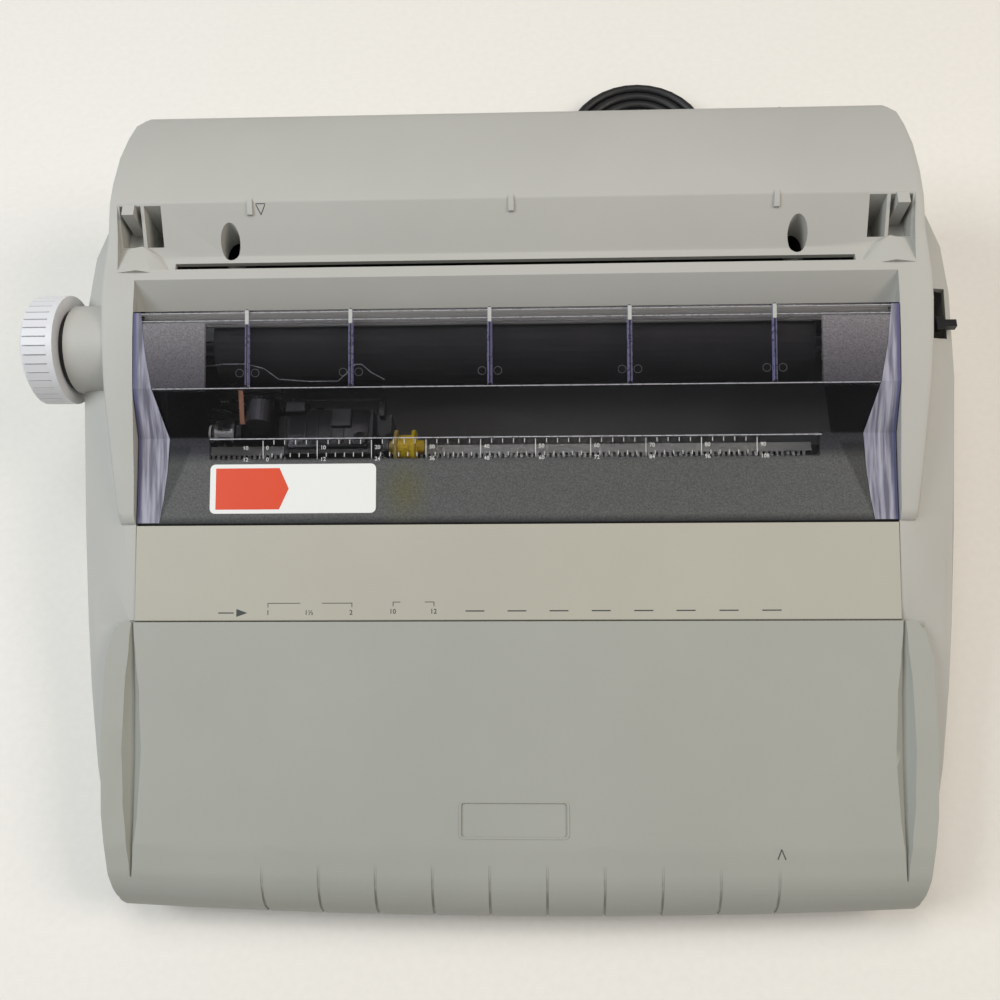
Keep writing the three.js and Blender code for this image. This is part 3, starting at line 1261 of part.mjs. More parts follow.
function powerPlug(tip) {
  const body = block([0, plug.length], [-plug.width / 2, plug.width / 2],
    [-plug.height / 2, plug.height / 2]);
  const neck = rodX(plug.neckRadius, -plug.neck, wall, 0, 0, smallSides);
  const lead = rodX(cordRadius, -plug.neck - plug.lead, -plug.neck + wall, 0, 0, cordSides);
  const pins = [-1, 1].map((side) => block(
    [plug.length - wall, plug.length + plug.pin],
    sideSpan(side, (plug.pinGap - plug.pinThick) / 2, (plug.pinGap + plug.pinThick) / 2),
    [-plug.pinWide / 2, plug.pinWide / 2]));
  const geometry = toGeometry(join(body, neck, lead, ...pins));
  const way = tangentAt(coilEnd);
  geometry.translate(plug.neck + plug.lead + gap, 0, 0);
  geometry.rotateZ(Math.atan2(way.y, way.x));
  geometry.translate(tip.x, tip.y, tip.z);
  return toSolid(geometry);
}

// The machine and its cord, as named meshes
const machine = new THREE.Group();
const cordGroup = new THREE.Group();

function place(name, solid, makeMaterial, group = machine) {
  const mesh = new THREE.Mesh(toGeometry(solid), makeMaterial());
  mesh.name = name;
  group.add(mesh);
}

place('base_pan', basePan(), greyPlastic);
const footRows = [['front', foot.fromFront - bodyHalfDepth], ['rear', bodyHalfDepth - foot.fromRear]];
for (const [word, y] of footRows) {
  for (const [sideWord, side] of [['left', -1], ['right', 1]]) {
    const x = side * (bodyHalfWidth - foot.fromSide);
    place(`foot_${word}_${sideWord}`, rodZ(foot.radius, 0, footHeight, x, y, roundSides), blackRubber);
  }
}
place('main_cover', mainCover(), greyPlastic);
place('control_panel', controlPanel(), stripPlastic);
place('clear_cover', clearCover(), smokePlastic);
place('keyboard_cover', keyboardCover(), coverPlastic);

place('left_side_frame', sidePlate(plateLeft), steel);
place('right_side_frame', sidePlate(plateRight), steel);
place('platen_roller', platenRoller(), blackRubber);
place('platen_shaft', rodX(platenShaft.radius, -bodyHalfWidth - platenShaft.outside,
  plateRight + platenShaft.past, platenAxis.y, platenAxis.z), steel);
place('platen_knob', platenKnob(), greyPlastic);
place('knob_spacer', knobSpacer(), blackPlastic);
place('platen_gear', platenGearSolid(), whitePlastic);
place('line_feed_motor', rodX(feedMotor.radius, plateInner.left, plateInner.left + feedMotor.can,
  pinionAxis.y, pinionAxis.z), blackPlastic);
place('line_feed_pinion', prismX(
  toothedOutline(pinion.tip, pinion.root, pinion.teeth, pinionAxis.y, pinionAxis.z),
  gearSpan[0], plateLeft - gap), whitePlastic);
place('feed_roller', feedRollers(), blackRubber);
place('pressure_frame', pressureFrame(), steel);
place('paper_release_lever', releaseLever(), blackPlastic);
place('paper_pan', paperPan(), blackPlastic);

place('guide_shaft', rodX(guideShaft.radius, plateInner.left, plateInner.right,
  guideAxis.y, guideAxis.z), steel);
place('carriage_rack', carriageRack(), rackPlastic);
place('carriage_frame', carriageFrame(), blackPlastic);
place('wheel_motor', wheelMotorSolid(), steel);
place('daisy_wheel', daisyWheel(), blackPlastic);
place('print_hammer', printHammer(), steel);
place('ribbon_cassette', ribbonCassette(), blackPlastic);
place('correction_supply_spool', pinSpoolSolid(), steel);
place('correction_takeup_spool', tapeSpoolSolid(), yellowPlastic);
place('card_guide', cardGuideSolid(), clearPlastic);
place('carriage_motor', driveMotorSolid(), steel);
place('drive_pinion', drivePinion(), whitePlastic);
place('main_board', mainBoard(), boardGreen);
place('transformer', transformerSolid(), blackPlastic);

rowPlans.forEach((plan, row) => {
  place(plan.name, rowKeys(plan, row), keyPlastic);
  if (plan.left > 0) {
    place(plan.leftName, singleKey((plan.left * keyPitch) / 2 - halfRow, row, plan.left), darkKeyPlastic);
  }
  place(plan.rightName, singleKey(halfRow - (plan.right * keyPitch) / 2, row, plan.right), darkKeyPlastic);
});
place('code_key', singleKey(codeKey.place * keyPitch, rowPlans.length, codeKey.units), darkKeyPlastic);
place('space_bar', singleKey(spaceBar.place * keyPitch, rowPlans.length, spaceBar.units), keyPlastic);
place('keyboard_frame', keyboardFrame(), blackPlastic);
place('keyboard_board', keyboardBoard(), boardGreen);
place('power_switch', powerSwitch(), blackPlastic);

const windings = coilPoints();
place('cord_strain_relief', strainRelief(), blackCord, cordGroup);
place('cord_run', cordRun(), blackCord, cordGroup);
place('cord_coil', cordCoil(windings), blackCord, cordGroup);
place('cord_tie', cordTie(), whitePlastic, cordGroup);
place('power_plug', powerPlug(windings[windings.length - 1]), blackCord, cordGroup);
console.log('least gap between turns of the coil', leastGap(windings).toFixed(2));

const stance = new THREE.Box3().setFromObject(machine);
const shiftX = -(stance.min.x + stance.max.x) / 2;
const shiftY = -(stance.min.y + stance.max.y) / 2;
const typewriter = new THREE.Group();
typewriter.position.set(shiftX, shiftY, 0);
typewriter.add(machine, cordGroup);
console.log('box', stance.min.toArray(), stance.max.toArray(), 'shift', shiftX, shiftY);

export default typewriter;
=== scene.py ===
import math

import bmesh
import bpy
from mathutils import Matrix, Vector


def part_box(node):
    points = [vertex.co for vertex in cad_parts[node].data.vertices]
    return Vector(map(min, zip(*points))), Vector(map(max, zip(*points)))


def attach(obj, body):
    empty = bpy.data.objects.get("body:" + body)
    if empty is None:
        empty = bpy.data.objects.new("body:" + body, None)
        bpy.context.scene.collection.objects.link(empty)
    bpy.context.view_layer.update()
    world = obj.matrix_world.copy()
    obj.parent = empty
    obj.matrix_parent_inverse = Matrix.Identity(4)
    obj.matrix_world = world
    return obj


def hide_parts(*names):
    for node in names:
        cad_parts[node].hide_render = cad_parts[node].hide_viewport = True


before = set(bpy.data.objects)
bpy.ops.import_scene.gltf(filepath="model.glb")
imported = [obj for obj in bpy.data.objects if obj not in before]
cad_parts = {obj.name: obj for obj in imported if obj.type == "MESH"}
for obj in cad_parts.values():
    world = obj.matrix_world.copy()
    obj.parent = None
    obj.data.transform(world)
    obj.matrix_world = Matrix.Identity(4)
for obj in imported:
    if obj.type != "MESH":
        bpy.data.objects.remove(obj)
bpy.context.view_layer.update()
print("stage: frame loaded")

mm = 0.001
# the machine's own middle plane lies beside the frame's origin, because the knob sticks out on one side
middleX = (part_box("control_panel")[0][0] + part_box("control_panel")[1][0]) / 2


def at(x, y, z):
    return Vector((middleX + x * mm, y * mm, z * mm))


# Camera: seen from above the front edge, solved from the printing scale and the key pitch
camera = {"place": (11.1, -174.6, 533.1), "elevation": 70.0, "yaw": -5.91, "roll": -5.93, "lens": 37.8}


def makeCamera(look):
    elevation, yaw, roll = (math.radians(look[k]) for k in ("elevation", "yaw", "roll"))
    forward = Vector((math.sin(yaw) * math.cos(elevation), math.cos(yaw) * math.cos(elevation),
                      -math.sin(elevation)))
    right = Vector((math.cos(yaw), -math.sin(yaw), 0))
    up = right.cross(forward)
    turnedRight = right * math.cos(roll) + up * math.sin(roll)
    turnedUp = up * math.cos(roll) - right * math.sin(roll)
    bpy.ops.object.camera_add(location=at(*look["place"]))
    cam = bpy.context.object
    cam.name = "photoCamera"
    axes = Matrix((turnedRight, turnedUp, -forward)).transposed()
    cam.rotation_euler = axes.to_euler()
    cam.data.lens = look["lens"]
    cam.data.sensor_width = 36
    cam.data.clip_start = 0.01
    bpy.context.scene.camera = cam


makeCamera(camera)
print("stage: camera")


# Material helpers
def newMaterial(name):
    made = bpy.data.materials.new(name)
    made.use_nodes = True
    nodes = made.node_tree.nodes
    return made, nodes, made.node_tree.links, nodes["Principled BSDF"]


def objectNoise(nodes, links, scale, detail=3.0, roughness=0.5):
    where = nodes.new("ShaderNodeTexCoord")
    noise = nodes.new("ShaderNodeTexNoise")
    noise.inputs["Scale"].default_value = scale
    noise.inputs["Detail"].default_value = detail
    noise.inputs["Roughness"].default_value = roughness
    links.new(where.outputs["Object"], noise.inputs["Vector"])
    return noise


def mapped(nodes, links, source, low, high, fromLow=0.3, fromHigh=0.7):
    reach = nodes.new("ShaderNodeMapRange")
    reach.inputs["From Min"].default_value = fromLow
    reach.inputs["From Max"].default_value = fromHigh
    reach.inputs["To Min"].default_value = low
    reach.inputs["To Max"].default_value = high
    links.new(source, reach.inputs["Value"])
    return reach.outputs["Result"]


def mixedColor(nodes, links, share, first, second):
    mix = nodes.new("ShaderNodeMix")
    mix.data_type = "RGBA"
    mix.inputs["A"].default_value = (*first, 1)
    mix.inputs["B"].default_value = (*second, 1)
    links.new(share, mix.inputs["Factor"])
    return mix.outputs["Result"]


def combined(nodes, links, operation, first, second):
    node = nodes.new("ShaderNodeMath")
    node.operation = operation
    links.new(first, node.inputs[0])
    links.new(second, node.inputs[1])
    return node.outputs[0]


def addBump(nodes, links, shader, height, strength, distance):
    bump = nodes.new("ShaderNodeBump")
    bump.inputs["Strength"].default_value = strength
    bump.inputs["Distance"].default_value = distance
    links.new(height, bump.inputs["Height"])
    links.new(bump.outputs["Normal"], shader.inputs["Normal"])
    return bump


# A colour written in screen levels, 0 to 255, as the linear shares that a shader takes
def linear(*levels):
    shares = [level / 255 for level in levels]
    return tuple(((share + 0.055) / 1.055) ** 2.4 if share > 0.04045 else share / 12.92 for share in shares)


# Fine moulded grain over a colour that drifts a little from place to place
plasticLook = {"cloud": 9.0, "grainDetail": 2.0, "noiseRoughness": 0.6, "glossDrift": 0.06}


def mouldedPlastic(name, color, roughness=0.55, grain=1500.0, depth=0.00006, mottle=0.035, strength=0.55):
    made, nodes, links, shader = newMaterial(name)
    rough = plasticLook["noiseRoughness"]
    cloud = objectNoise(nodes, links, plasticLook["cloud"], detail=4.0, roughness=rough)
    darker = tuple(c * (1 - mottle) for c in color)
    lighter = tuple(min(c * (1 + mottle), 1) for c in color)
    tone = mixedColor(nodes, links, mapped(nodes, links, cloud.outputs["Fac"], 0, 1), darker, lighter)
    links.new(tone, shader.inputs["Base Color"])
    fine = objectNoise(nodes, links, grain, plasticLook["grainDetail"], rough)
    drift = plasticLook["glossDrift"]
    links.new(mapped(nodes, links, fine.outputs["Fac"], roughness - drift, roughness + drift),
              shader.inputs["Roughness"])
    addBump(nodes, links, shader, fine.outputs["Fac"], strength, depth)
    return made


finishes = {
    "housing": mouldedPlastic("housingGrey", linear(181, 180, 174), 0.56),
    "panel": mouldedPlastic("panelGrey", linear(181, 178, 165), 0.55),
    "lid": mouldedPlastic("lidGrey", linear(164, 165, 157), 0.55),
    "knob": mouldedPlastic("knobGrey", linear(222, 222, 225), 0.36, depth=0.00003),
    "base": mouldedPlastic("baseGrey", linear(150, 150, 145), 0.6),
    "ledge": mouldedPlastic("ledgeGrey", linear(132, 131, 126), 0.6),
    "black": mouldedPlastic("satinBlack", linear(17, 17, 19), 0.34, depth=0.00002, mottle=0.15),
    "keyLight": mouldedPlastic("keyIvory", linear(208, 205, 194), 0.5, depth=0.00003),
    "keyDark": mouldedPlastic("keyGrey", linear(128, 131, 130), 0.5, depth=0.00003),
    "white": mouldedPlastic("naturalWhite", linear(222, 222, 214), 0.45, depth=0.00002),
    "rack": mouldedPlastic("rackGrey", linear(184, 186, 180), 0.45, depth=0.00002),
    "print": mouldedPlastic("printDark", linear(66, 68, 68), 0.5, depth=0.00001, mottle=0.1),
    "printWhite": mouldedPlastic("printWhite", linear(205, 205, 202), 0.5, depth=0.00001, mottle=0.02),
    "labelWhite": mouldedPlastic("labelWhite", linear(236, 236, 233), 0.35, depth=0.00001, mottle=0.01),
    "labelOrange": mouldedPlastic("labelOrange", linear(222, 74, 38), 0.35, depth=0.00001, mottle=0.03),
    "rubber": mouldedPlastic("footRubber", linear(36, 36, 37), 0.8, grain=900.0, mottle=0.12),
    "platen": mouldedPlastic("platenRubber", linear(34, 32, 33), 0.62, grain=2200.0, depth=0.00002,
                             mottle=0.1),
    "cord": mouldedPlastic("cordVinyl", linear(22, 22, 24), 0.5, grain=1200.0, depth=0.00002, mottle=0.1),
    "board": mouldedPlastic("boardGreen", linear(36, 96, 58), 0.4, depth=0.00001, mottle=0.08),
}


metalLook = {"grain": 1200.0, "dark": 0.86, "smoother": 0.8, "rougher": 1.3,
             "strength": 0.2, "depth": 0.00001}


def metal(name, color, roughness):
    made, nodes, links, shader = newMaterial(name)
    shader.inputs["Metallic"].default_value = 1.0
    fine = objectNoise(nodes, links, metalLook["grain"], detail=2.0, roughness=0.7)
    darker = tuple(c * metalLook["dark"] for c in color)
    links.new(mixedColor(nodes, links, fine.outputs["Fac"], darker, color), shader.inputs["Base Color"])
    links.new(mapped(nodes, links, fine.outputs["Fac"], roughness * metalLook["smoother"],
                     roughness * metalLook["rougher"]), shader.inputs["Roughness"])
    addBump(nodes, links, shader, fine.outputs["Fac"], metalLook["strength"], metalLook["depth"])
    return made


finishes["steel"] = metal("platedSteel", (0.56, 0.57, 0.58), 0.35)
finishes["bright"] = metal("brightSteel", (0.82, 0.82, 0.8), 0.18)
finishes["iron"] = metal("varnishedIron", (0.12, 0.12, 0.13), 0.5)
finishes["copper"] = metal("copperTape", (0.76, 0.36, 0.22), 0.35)


def yellowResin(name, low, high, clear):
    made, nodes, links, shader = newMaterial(name)
    cloud = objectNoise(nodes, links, scale=300.0)
    tone = mixedColor(nodes, links, mapped(nodes, links, cloud.outputs["Fac"], 0, 1), low, high)
    links.new(tone, shader.inputs["Base Color"])
    shader.inputs["Roughness"].default_value = 0.3
    shader.inputs["Subsurface Weight"].default_value = 0.2
    shader.inputs["Subsurface Radius"].default_value = (0.004, 0.003, 0.001)
    shader.inputs["Transmission Weight"].default_value = clear
    return made


finishes["yellow"] = yellowResin("yellowResin", linear(232, 196, 20), linear(250, 220, 48), 0.0)
finishes["yellowClear"] = yellowResin("yellowClearResin", linear(226, 196, 84), linear(240, 222, 140), 0.35)

# The clear lid: polished where it is looked through, frosted inside elsewhere, bluish at its ends.
# Places are in mm from the machine's middle plane and along its depth.
lidLook = {
    "windows": [(-141.5, 140.5, 9.0, 66.5), (-166.0, 166.0, 18.8, 37.4), (-180.0, 180.0, 66.5, 80.0)],
    "soft": 0.5, "clearTint": (0.74, 0.73, 0.76), "roughness": 0.03, "glass": 1.3,
    "speckle": 1300.0, "speckleShade": (0.72, 1.3), "frostRoughness": 0.34, "frostClear": 0.12,
    # Painted shade by depth on the frost: dark at the front lip and where the shaded inside lies behind it,
    # lighter at the rear over the grey housing
    "frostShadeByDepth": [(-20.1, (46, 46, 48)), (-16.5, (96, 97, 96)), (7, (94, 95, 94)), (12, (56, 56, 60)),
                   (19, (56, 56, 60)), (37, (84, 82, 88)), (50, (104, 101, 106)), (72, (138, 134, 138))],
    "tint": (98, 97, 74), "tintPlace": (-56, -44, -15, 4), "tintSoft": 7,
    # Painted shade: the darker wedge at each end of the frosted front
    "shade": {"slant": 0.43, "edge": 156.2, "soft": 0.8, "dark": 0.4, "upTo": 14, "fade": 2},
}


# Distance of a place from the machine's middle plane
def offMiddle(nodes, links, axes):
    middle = nodes.new("ShaderNodeMath")
    middle.operation = "SUBTRACT"
    links.new(axes.outputs["X"], middle.inputs[0])
    middle.inputs[1].default_value = middleX
    away = nodes.new("ShaderNodeMath")
    away.operation = "ABSOLUTE"
    links.new(middle.outputs[0], away.inputs[0])
    return away.outputs[0]


def boxMask(nodes, links, axes, window, soft):
    left, right, front, rear = window
    edges = [("X", at(left, 0, 0).x, 1), ("X", at(right, 0, 0).x, -1), ("Y", front * mm, 1),
             ("Y", rear * mm, -1)]
    share = None
    for axis, limit, way in edges:
        reach = mapped(nodes, links, axes.outputs[axis], 0 if way > 0 else 1, 1 if way > 0 else 0,
                       limit - soft, limit + soft)
        share = reach if share is None else combined(nodes, links, "MULTIPLY", share, reach)
    return share


# Painted shade: a darker wedge at each end of the frosted front, where the shaded end walls lie behind it
def endShade(nodes, links, axes, look):
    skew = nodes.new("ShaderNodeMath")
    skew.operation = "MULTIPLY"
    links.new(axes.outputs["Y"], skew.inputs[0])
    skew.inputs[1].default_value = look["slant"]
    reach = combined(nodes, links, "ADD", offMiddle(nodes, links, axes), skew.outputs[0])
    edge, soft, upTo = look["edge"] * mm, look["soft"] * mm, look["upTo"] * mm
    wedge = mapped(nodes, links, reach, 0, 1, edge - soft, edge + soft)
    ahead = mapped(nodes, links, axes.outputs["Y"], look["dark"], 0, upTo, upTo + look["fade"] * mm)
    shade = combined(nodes, links, "MULTIPLY", wedge, ahead)
    return mapped(nodes, links, shade, low=1, high=0, fromLow=0, fromHigh=1)


# The frost's colour: painted shade by depth, a yellowish patch, a random speckle and the painted shade at the
# ends
def frostTone(nodes, links, axes, look):
    stops = look["frostShadeByDepth"]
    first, last = stops[0][0], stops[-1][0]
    ramp = nodes.new("ShaderNodeValToRGB")
    links.new(mapped(nodes, links, axes.outputs["Y"], 0, 1, first * mm, last * mm), ramp.inputs["Fac"])
    spots = ramp.color_ramp.elements
    while len(spots) < len(stops):
        spots.new(0.5)
    for spot, (place, color) in zip(spots, stops):
        spot.position = (place - first) / (last - first)
    for spot, (place, color) in zip(spots, stops):
        spot.color = (*linear(*color), 1)
    tint = boxMask(nodes, links, axes, look["tintPlace"], look["tintSoft"] * mm)
    tinted = nodes.new("ShaderNodeMix")
    tinted.data_type = "RGBA"
    links.new(tint, tinted.inputs["Factor"])
    links.new(ramp.outputs["Color"], tinted.inputs["A"])
    tinted.inputs["B"].default_value = (*linear(*look["tint"]), 1)
    speck = objectNoise(nodes, links, look["speckle"], detail=2.0, roughness=0.8)
    light = mapped(nodes, links, speck.outputs["Fac"], *look["speckleShade"], fromLow=0.36, fromHigh=0.66)
    light = combined(nodes, links, "MULTIPLY", light, endShade(nodes, links, axes, look["shade"]))
    scaled = nodes.new("ShaderNodeVectorMath")
    scaled.operation = "SCALE"
    links.new(tinted.outputs["Result"], scaled.inputs[0])
    links.new(light, scaled.inputs["Scale"])
    return scaled.outputs[0]


def smokedResin(look):
    made, nodes, links, shader = newMaterial("smokedResin")
    shader.inputs["Transmission Weight"].default_value = 1.0
    shader.inputs["IOR"].default_value = look["glass"]
    shader.inputs["Base Color"].default_value = (*look["clearTint"], 1)
    shader.inputs["Roughness"].default_value = look["roughness"]
    frost = nodes.new("ShaderNodeBsdfPrincipled")
    where = nodes.new("ShaderNodeTexCoord")
    axes = nodes.new("ShaderNodeSeparateXYZ")
    links.new(where.outputs["Object"], axes.inputs["Vector"])
    links.new(frostTone(nodes, links, axes, look), frost.inputs["Base Color"])
    frost.inputs["Roughness"].default_value = look["frostRoughness"]
    frost.inputs["Transmission Weight"].default_value = look["frostClear"]
    frost.inputs["IOR"].default_value = look["glass"]
    share = None
    for window in look["windows"]:
        mask = boxMask(nodes, links, axes, window, look["soft"] * mm)
        share = mask if share is None else combined(nodes, links, "MAXIMUM", share, mask)
    mix = nodes.new("ShaderNodeMixShader")
    links.new(share, mix.inputs[0])
    links.new(frost.outputs[0], mix.inputs[1])
    links.new(shader.outputs[0], mix.inputs[2])
    links.new(mix.outputs[0], nodes["Material Output"].inputs["Surface"])
    return made


resinLook = {"glass": 1.35, "cloud": 400.0, "dark": 0.8}


def clearResin(name, color, roughness=0.05, clear=1.0):
    made, nodes, links, shader = newMaterial(name)
    shader.inputs["Transmission Weight"].default_value = clear
    shader.inputs["IOR"].default_value = resinLook["glass"]
    fine = objectNoise(nodes, links, resinLook["cloud"])
    tone = mixedColor(nodes, links, mapped(nodes, links, fine.outputs["Fac"], 0, 1),
                      tuple(c * resinLook["dark"] for c in color), color)
    links.new(tone, shader.inputs["Base Color"])
    links.new(mapped(nodes, links, fine.outputs["Fac"], roughness, roughness * 2), shader.inputs["Roughness"])
    return made


finishes["smoked"] = smokedResin(lidLook)
finishes["edge"] = clearResin("bluishEdge", (0.5, 0.48, 0.72), roughness=0.14, clear=0.35)
# Painted shade: a near-black clear finish on the faces of the lid's ribs that don't face sideways
finishes["ribShade"] = clearResin("ribShade", (0.02, 0.02, 0.03), roughness=0.2, clear=0.2)
finishes["ribSide"] = clearResin("ribSide", (0.17, 0.16, 0.33), roughness=0.2, clear=0.3)
# Painted highlight: a pale clear finish for thin lines along the lid's folds and rear edge and along the card
# guide's top edge
finishes["highlightEdge"] = clearResin("highlightEdge", (0.62, 0.62, 0.66), roughness=0.2, clear=0.3)
finishes["faintEdge"] = clearResin("faintEdge", (0.24, 0.24, 0.26), roughness=0.25, clear=0.3)


# Light caught by the lid's sloping ends: bluish at the rim, paler and streaked further in
gleamFinish = {
    "rim": (98, 98, 132), "pale": (176, 175, 190), "dark": (112, 111, 126), "rimFrom": 172.8, "rimTo": 174.0,
    "streaks": (520, 36, 36), "spread": (0.38, 0.64), "roughness": 0.18, "clear": 0.1, "glass": 1.35,
}


def gleamResin(name, look):
    made, nodes, links, shader = newMaterial(name)
    where = nodes.new("ShaderNodeTexCoord")
    turn = nodes.new("ShaderNodeMapping")
    turn.inputs["Scale"].default_value = look["streaks"]
    links.new(where.outputs["Object"], turn.inputs["Vector"])
    streak = nodes.new("ShaderNodeTexNoise")
    streak.inputs["Scale"].default_value = 1.0
    streak.inputs["Detail"].default_value = 3.0
    links.new(turn.outputs["Vector"], streak.inputs["Vector"])
    spread = mapped(nodes, links, streak.outputs["Fac"], 0, 1, *look["spread"])
    inner = mixedColor(nodes, links, spread, linear(*look["dark"]), linear(*look["pale"]))
    axes = nodes.new("ShaderNodeSeparateXYZ")
    links.new(where.outputs["Object"], axes.inputs["Vector"])
    away = offMiddle(nodes, links, axes)
    atRim = mapped(nodes, links, away, 0, 1, look["rimFrom"] * mm, look["rimTo"] * mm)
    mix = nodes.new("ShaderNodeMix")
    mix.data_type = "RGBA"
    links.new(atRim, mix.inputs["Factor"])
    links.new(inner, mix.inputs["A"])
    mix.inputs["B"].default_value = (*linear(*look["rim"]), 1)
    links.new(mix.outputs["Result"], shader.inputs["Base Color"])
    shader.inputs["Roughness"].default_value = look["roughness"]
    shader.inputs["Transmission Weight"].default_value = look["clear"]
    shader.inputs["IOR"].default_value = look["glass"]
    return made


finishes["gleam"] = gleamResin("lidEndGleam", gleamFinish)
finishes["clear"] = clearResin("clearFilm", (0.9, 0.92, 0.95))
print("stage: materials")


# Mesh helpers
def deselect():
    for thing in bpy.context.selected_objects:
        thing.select_set(False)


def activate(piece):
    deselect()
    piece.select_set(True)
    bpy.context.view_layer.objects.active = piece


def finish(piece, name, body, finishName, replaced=()):
    piece.name = name
    piece.data.name = name
    activate(piece)
    bpy.ops.object.transform_apply(location=True, rotation=True, scale=True)
    piece.data.materials.clear()
    piece.data.materials.append(finishes[finishName])
    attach(piece, body)
    if replaced:
        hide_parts(*replaced)
    return piece


def smooth(piece, degrees=35):
    activate(piece)
    bpy.ops.object.shade_smooth_by_angle(angle=math.radians(degrees))


# Broad faces decide the shading of the small rounded edges beside them
def weigh(piece):
    weighing = piece.modifiers.new("weigh", "WEIGHTED_NORMAL")
    weighing.keep_sharp = True


def applyAll(piece):
    activate(piece)
    for modifier in list(piece.modifiers):
        bpy.ops.object.modifier_apply(modifier=modifier.name)


def bevel(piece, width, segments=2, degrees=35):
    rounding = piece.modifiers.new("rounding", "BEVEL")
    rounding.width = width * mm
    rounding.segments = segments
    rounding.limit_method = "ANGLE"
    rounding.angle_limit = math.radians(degrees)
    rounding.use_clamp_overlap = True
    rounding.harden_normals = False


weldReach = 0.02  # corners nearer than this, in mm, become one


# A copy of a CAD node to work on: its loose triangles merged, its flat faces made whole
def mergedCopy(node, dissolve):
    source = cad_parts[node]
    piece = source.copy()
    piece.data = source.data.copy()
    for key in list(piece.keys()):
        if key.startswith("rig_"):
            del piece[key]
    piece.parent = None
    bpy.context.scene.collection.objects.link(piece)
    activate(piece)
    bpy.ops.object.mode_set(mode="EDIT")
    bpy.ops.mesh.select_all(action="SELECT")
    bpy.ops.mesh.remove_doubles(threshold=weldReach * mm)
    bpy.ops.mesh.dissolve_limited(angle_limit=math.radians(dissolve))
    bpy.ops.object.mode_set(mode="OBJECT")
    return piece


def rebuilt(node, body, finishName, width, segments=2, degrees=35, dissolve=1.0):
    piece = mergedCopy(node, dissolve)
    bevel(piece, width, segments, degrees)
    applyAll(piece)
    finish(piece, node + "_skin", body, finishName, (node,))
    smooth(piece, 40)
    weigh(piece)
    return piece


def blockPiece(size, centre):
    deselect()
    bpy.ops.mesh.primitive_cube_add(size=1, location=at(*centre))
    piece = bpy.context.object
    piece.scale = [s * mm for s in size]
    bpy.ops.object.transform_apply(location=False, rotation=False, scale=True)
    return piece


def rodPiece(radius, length, centre, axis="X", sides=32):
    turns = {"X": (0, math.pi / 2, 0), "Y": (math.pi / 2, 0, 0), "Z": (0, 0, 0)}
    deselect()
    bpy.ops.mesh.primitive_cylinder_add(vertices=sides, radius=radius * mm, depth=length * mm,
                                        location=at(*centre), rotation=turns[axis])
    return bpy.context.object


def ringPiece(radius, wire, centre, turn=(0, 0, 0), sides=32):
    deselect()
    bpy.ops.mesh.primitive_torus_add(major_radius=radius * mm, minor_radius=wire * mm, major_segments=sides,
                                     minor_segments=6, location=at(*centre), rotation=turn)
    return bpy.context.object


def roundedPiece(piece, width, segments=2):
    bevel(piece, width, segments)
    applyAll(piece)
    smooth(piece, 40)
    return piece


def joined(pieces):
    deselect()
    for piece in pieces:
        piece.select_set(True)
    bpy.context.view_layer.objects.active = pieces[0]
    bpy.ops.object.join()
    return bpy.context.object


def wirePiece(points, radius, sides=3):
    path = bpy.data.curves.new("wire", "CURVE")
    path.dimensions = "3D"
    spline = path.splines.new("POLY")
    spline.points.add(len(points) - 1)
    for spot, point in zip(spline.points, points):
        spot.co = (*at(*point), 1)
    path.bevel_depth = radius * mm
    path.bevel_resolution = sides
    path.use_fill_caps = True
    piece = bpy.data.objects.new("wire", path)
    bpy.context.scene.collection.objects.link(piece)
    activate(piece)
    bpy.ops.object.convert(target="MESH")
    return bpy.context.object


# Flat pieces are made lying at the origin, then set on a sloping surface.
# Each surface is given by the points of its line, depth and height.
surfaces = {
    "lid": [(-20.1, 76), (11, 84), (18.5, 86.5), (37.6, 101), (71.8, 112)],
    "strip": [(-63, 63.8), (-20.4, 76)],
    "cover": [(-188, 31), (-179, 40), (-160, 45), (-110, 54), (-63.6, 63.8)],
    "trough": [(101, 112), (121.6, 126.4)],
    "tape": [(26, 83.6), (42, 92.4)],
}


# Height and slope of a surface at a place along the depth
def heightAt(surface, y):
    line = surfaces[surface]
    i = max(k for k in range(len(line) - 1) if y >= line[k][0] or k == 0)
    (y0, z0), (y1, z1) = line[i], line[i + 1]
    slope = (z1 - z0) / (y1 - y0)
    return z0 + (y - y0) * slope, slope


def setOn(piece, surface, x, y, proud=0.02, turn=0.0):
    height, slope = heightAt(surface, y)
    tilt = math.atan(slope)
    lift = Vector((0, -math.sin(tilt), math.cos(tilt))) * proud * mm
    place = at(x, y, height) + lift
    piece.matrix_world = (Matrix.Translation(place) @ Matrix.Rotation(tilt, 4, "X")
                          @ Matrix.Rotation(math.radians(turn), 4, "Z"))
    activate(piece)
    bpy.ops.object.transform_apply(location=True, rotation=True, scale=True)
    return piece


def thicken(piece, thick):
    bpy.ops.mesh.select_all(action="SELECT")
    bpy.ops.mesh.extrude_region_move(TRANSFORM_OT_translate={"value": (0, 0, thick * mm)})
    bpy.ops.mesh.select_all(action="SELECT")
    bpy.ops.mesh.normals_make_consistent(inside=False)
    bpy.ops.object.mode_set(mode="OBJECT")
    return piece


def flatCard(width, length):
    deselect()
    bpy.ops.mesh.primitive_plane_add(size=1)
    piece = bpy.context.object
    piece.scale = (width * mm, length * mm, 1)
    bpy.ops.object.transform_apply(location=False, rotation=False, scale=True)
    bpy.ops.object.mode_set(mode="EDIT")
    bpy.ops.mesh.select_all(action="SELECT")
    return piece


def cardPiece(width, length, thick=0.04, corner=0.0, steps=5):
    piece = flatCard(width, length)
    if corner:
        bpy.ops.mesh.bevel(offset=corner * mm, segments=steps, affect="VERTICES")
    return thicken(piece, thick)


def selectWhere(piece, rule):
    mesh = bmesh.from_edit_mesh(piece.data)
    for vert in mesh.verts:
        vert.select = rule(vert.co)
    mesh.select_flush(True)
    mesh.select_flush(False)
    bmesh.update_edit_mesh(piece.data)


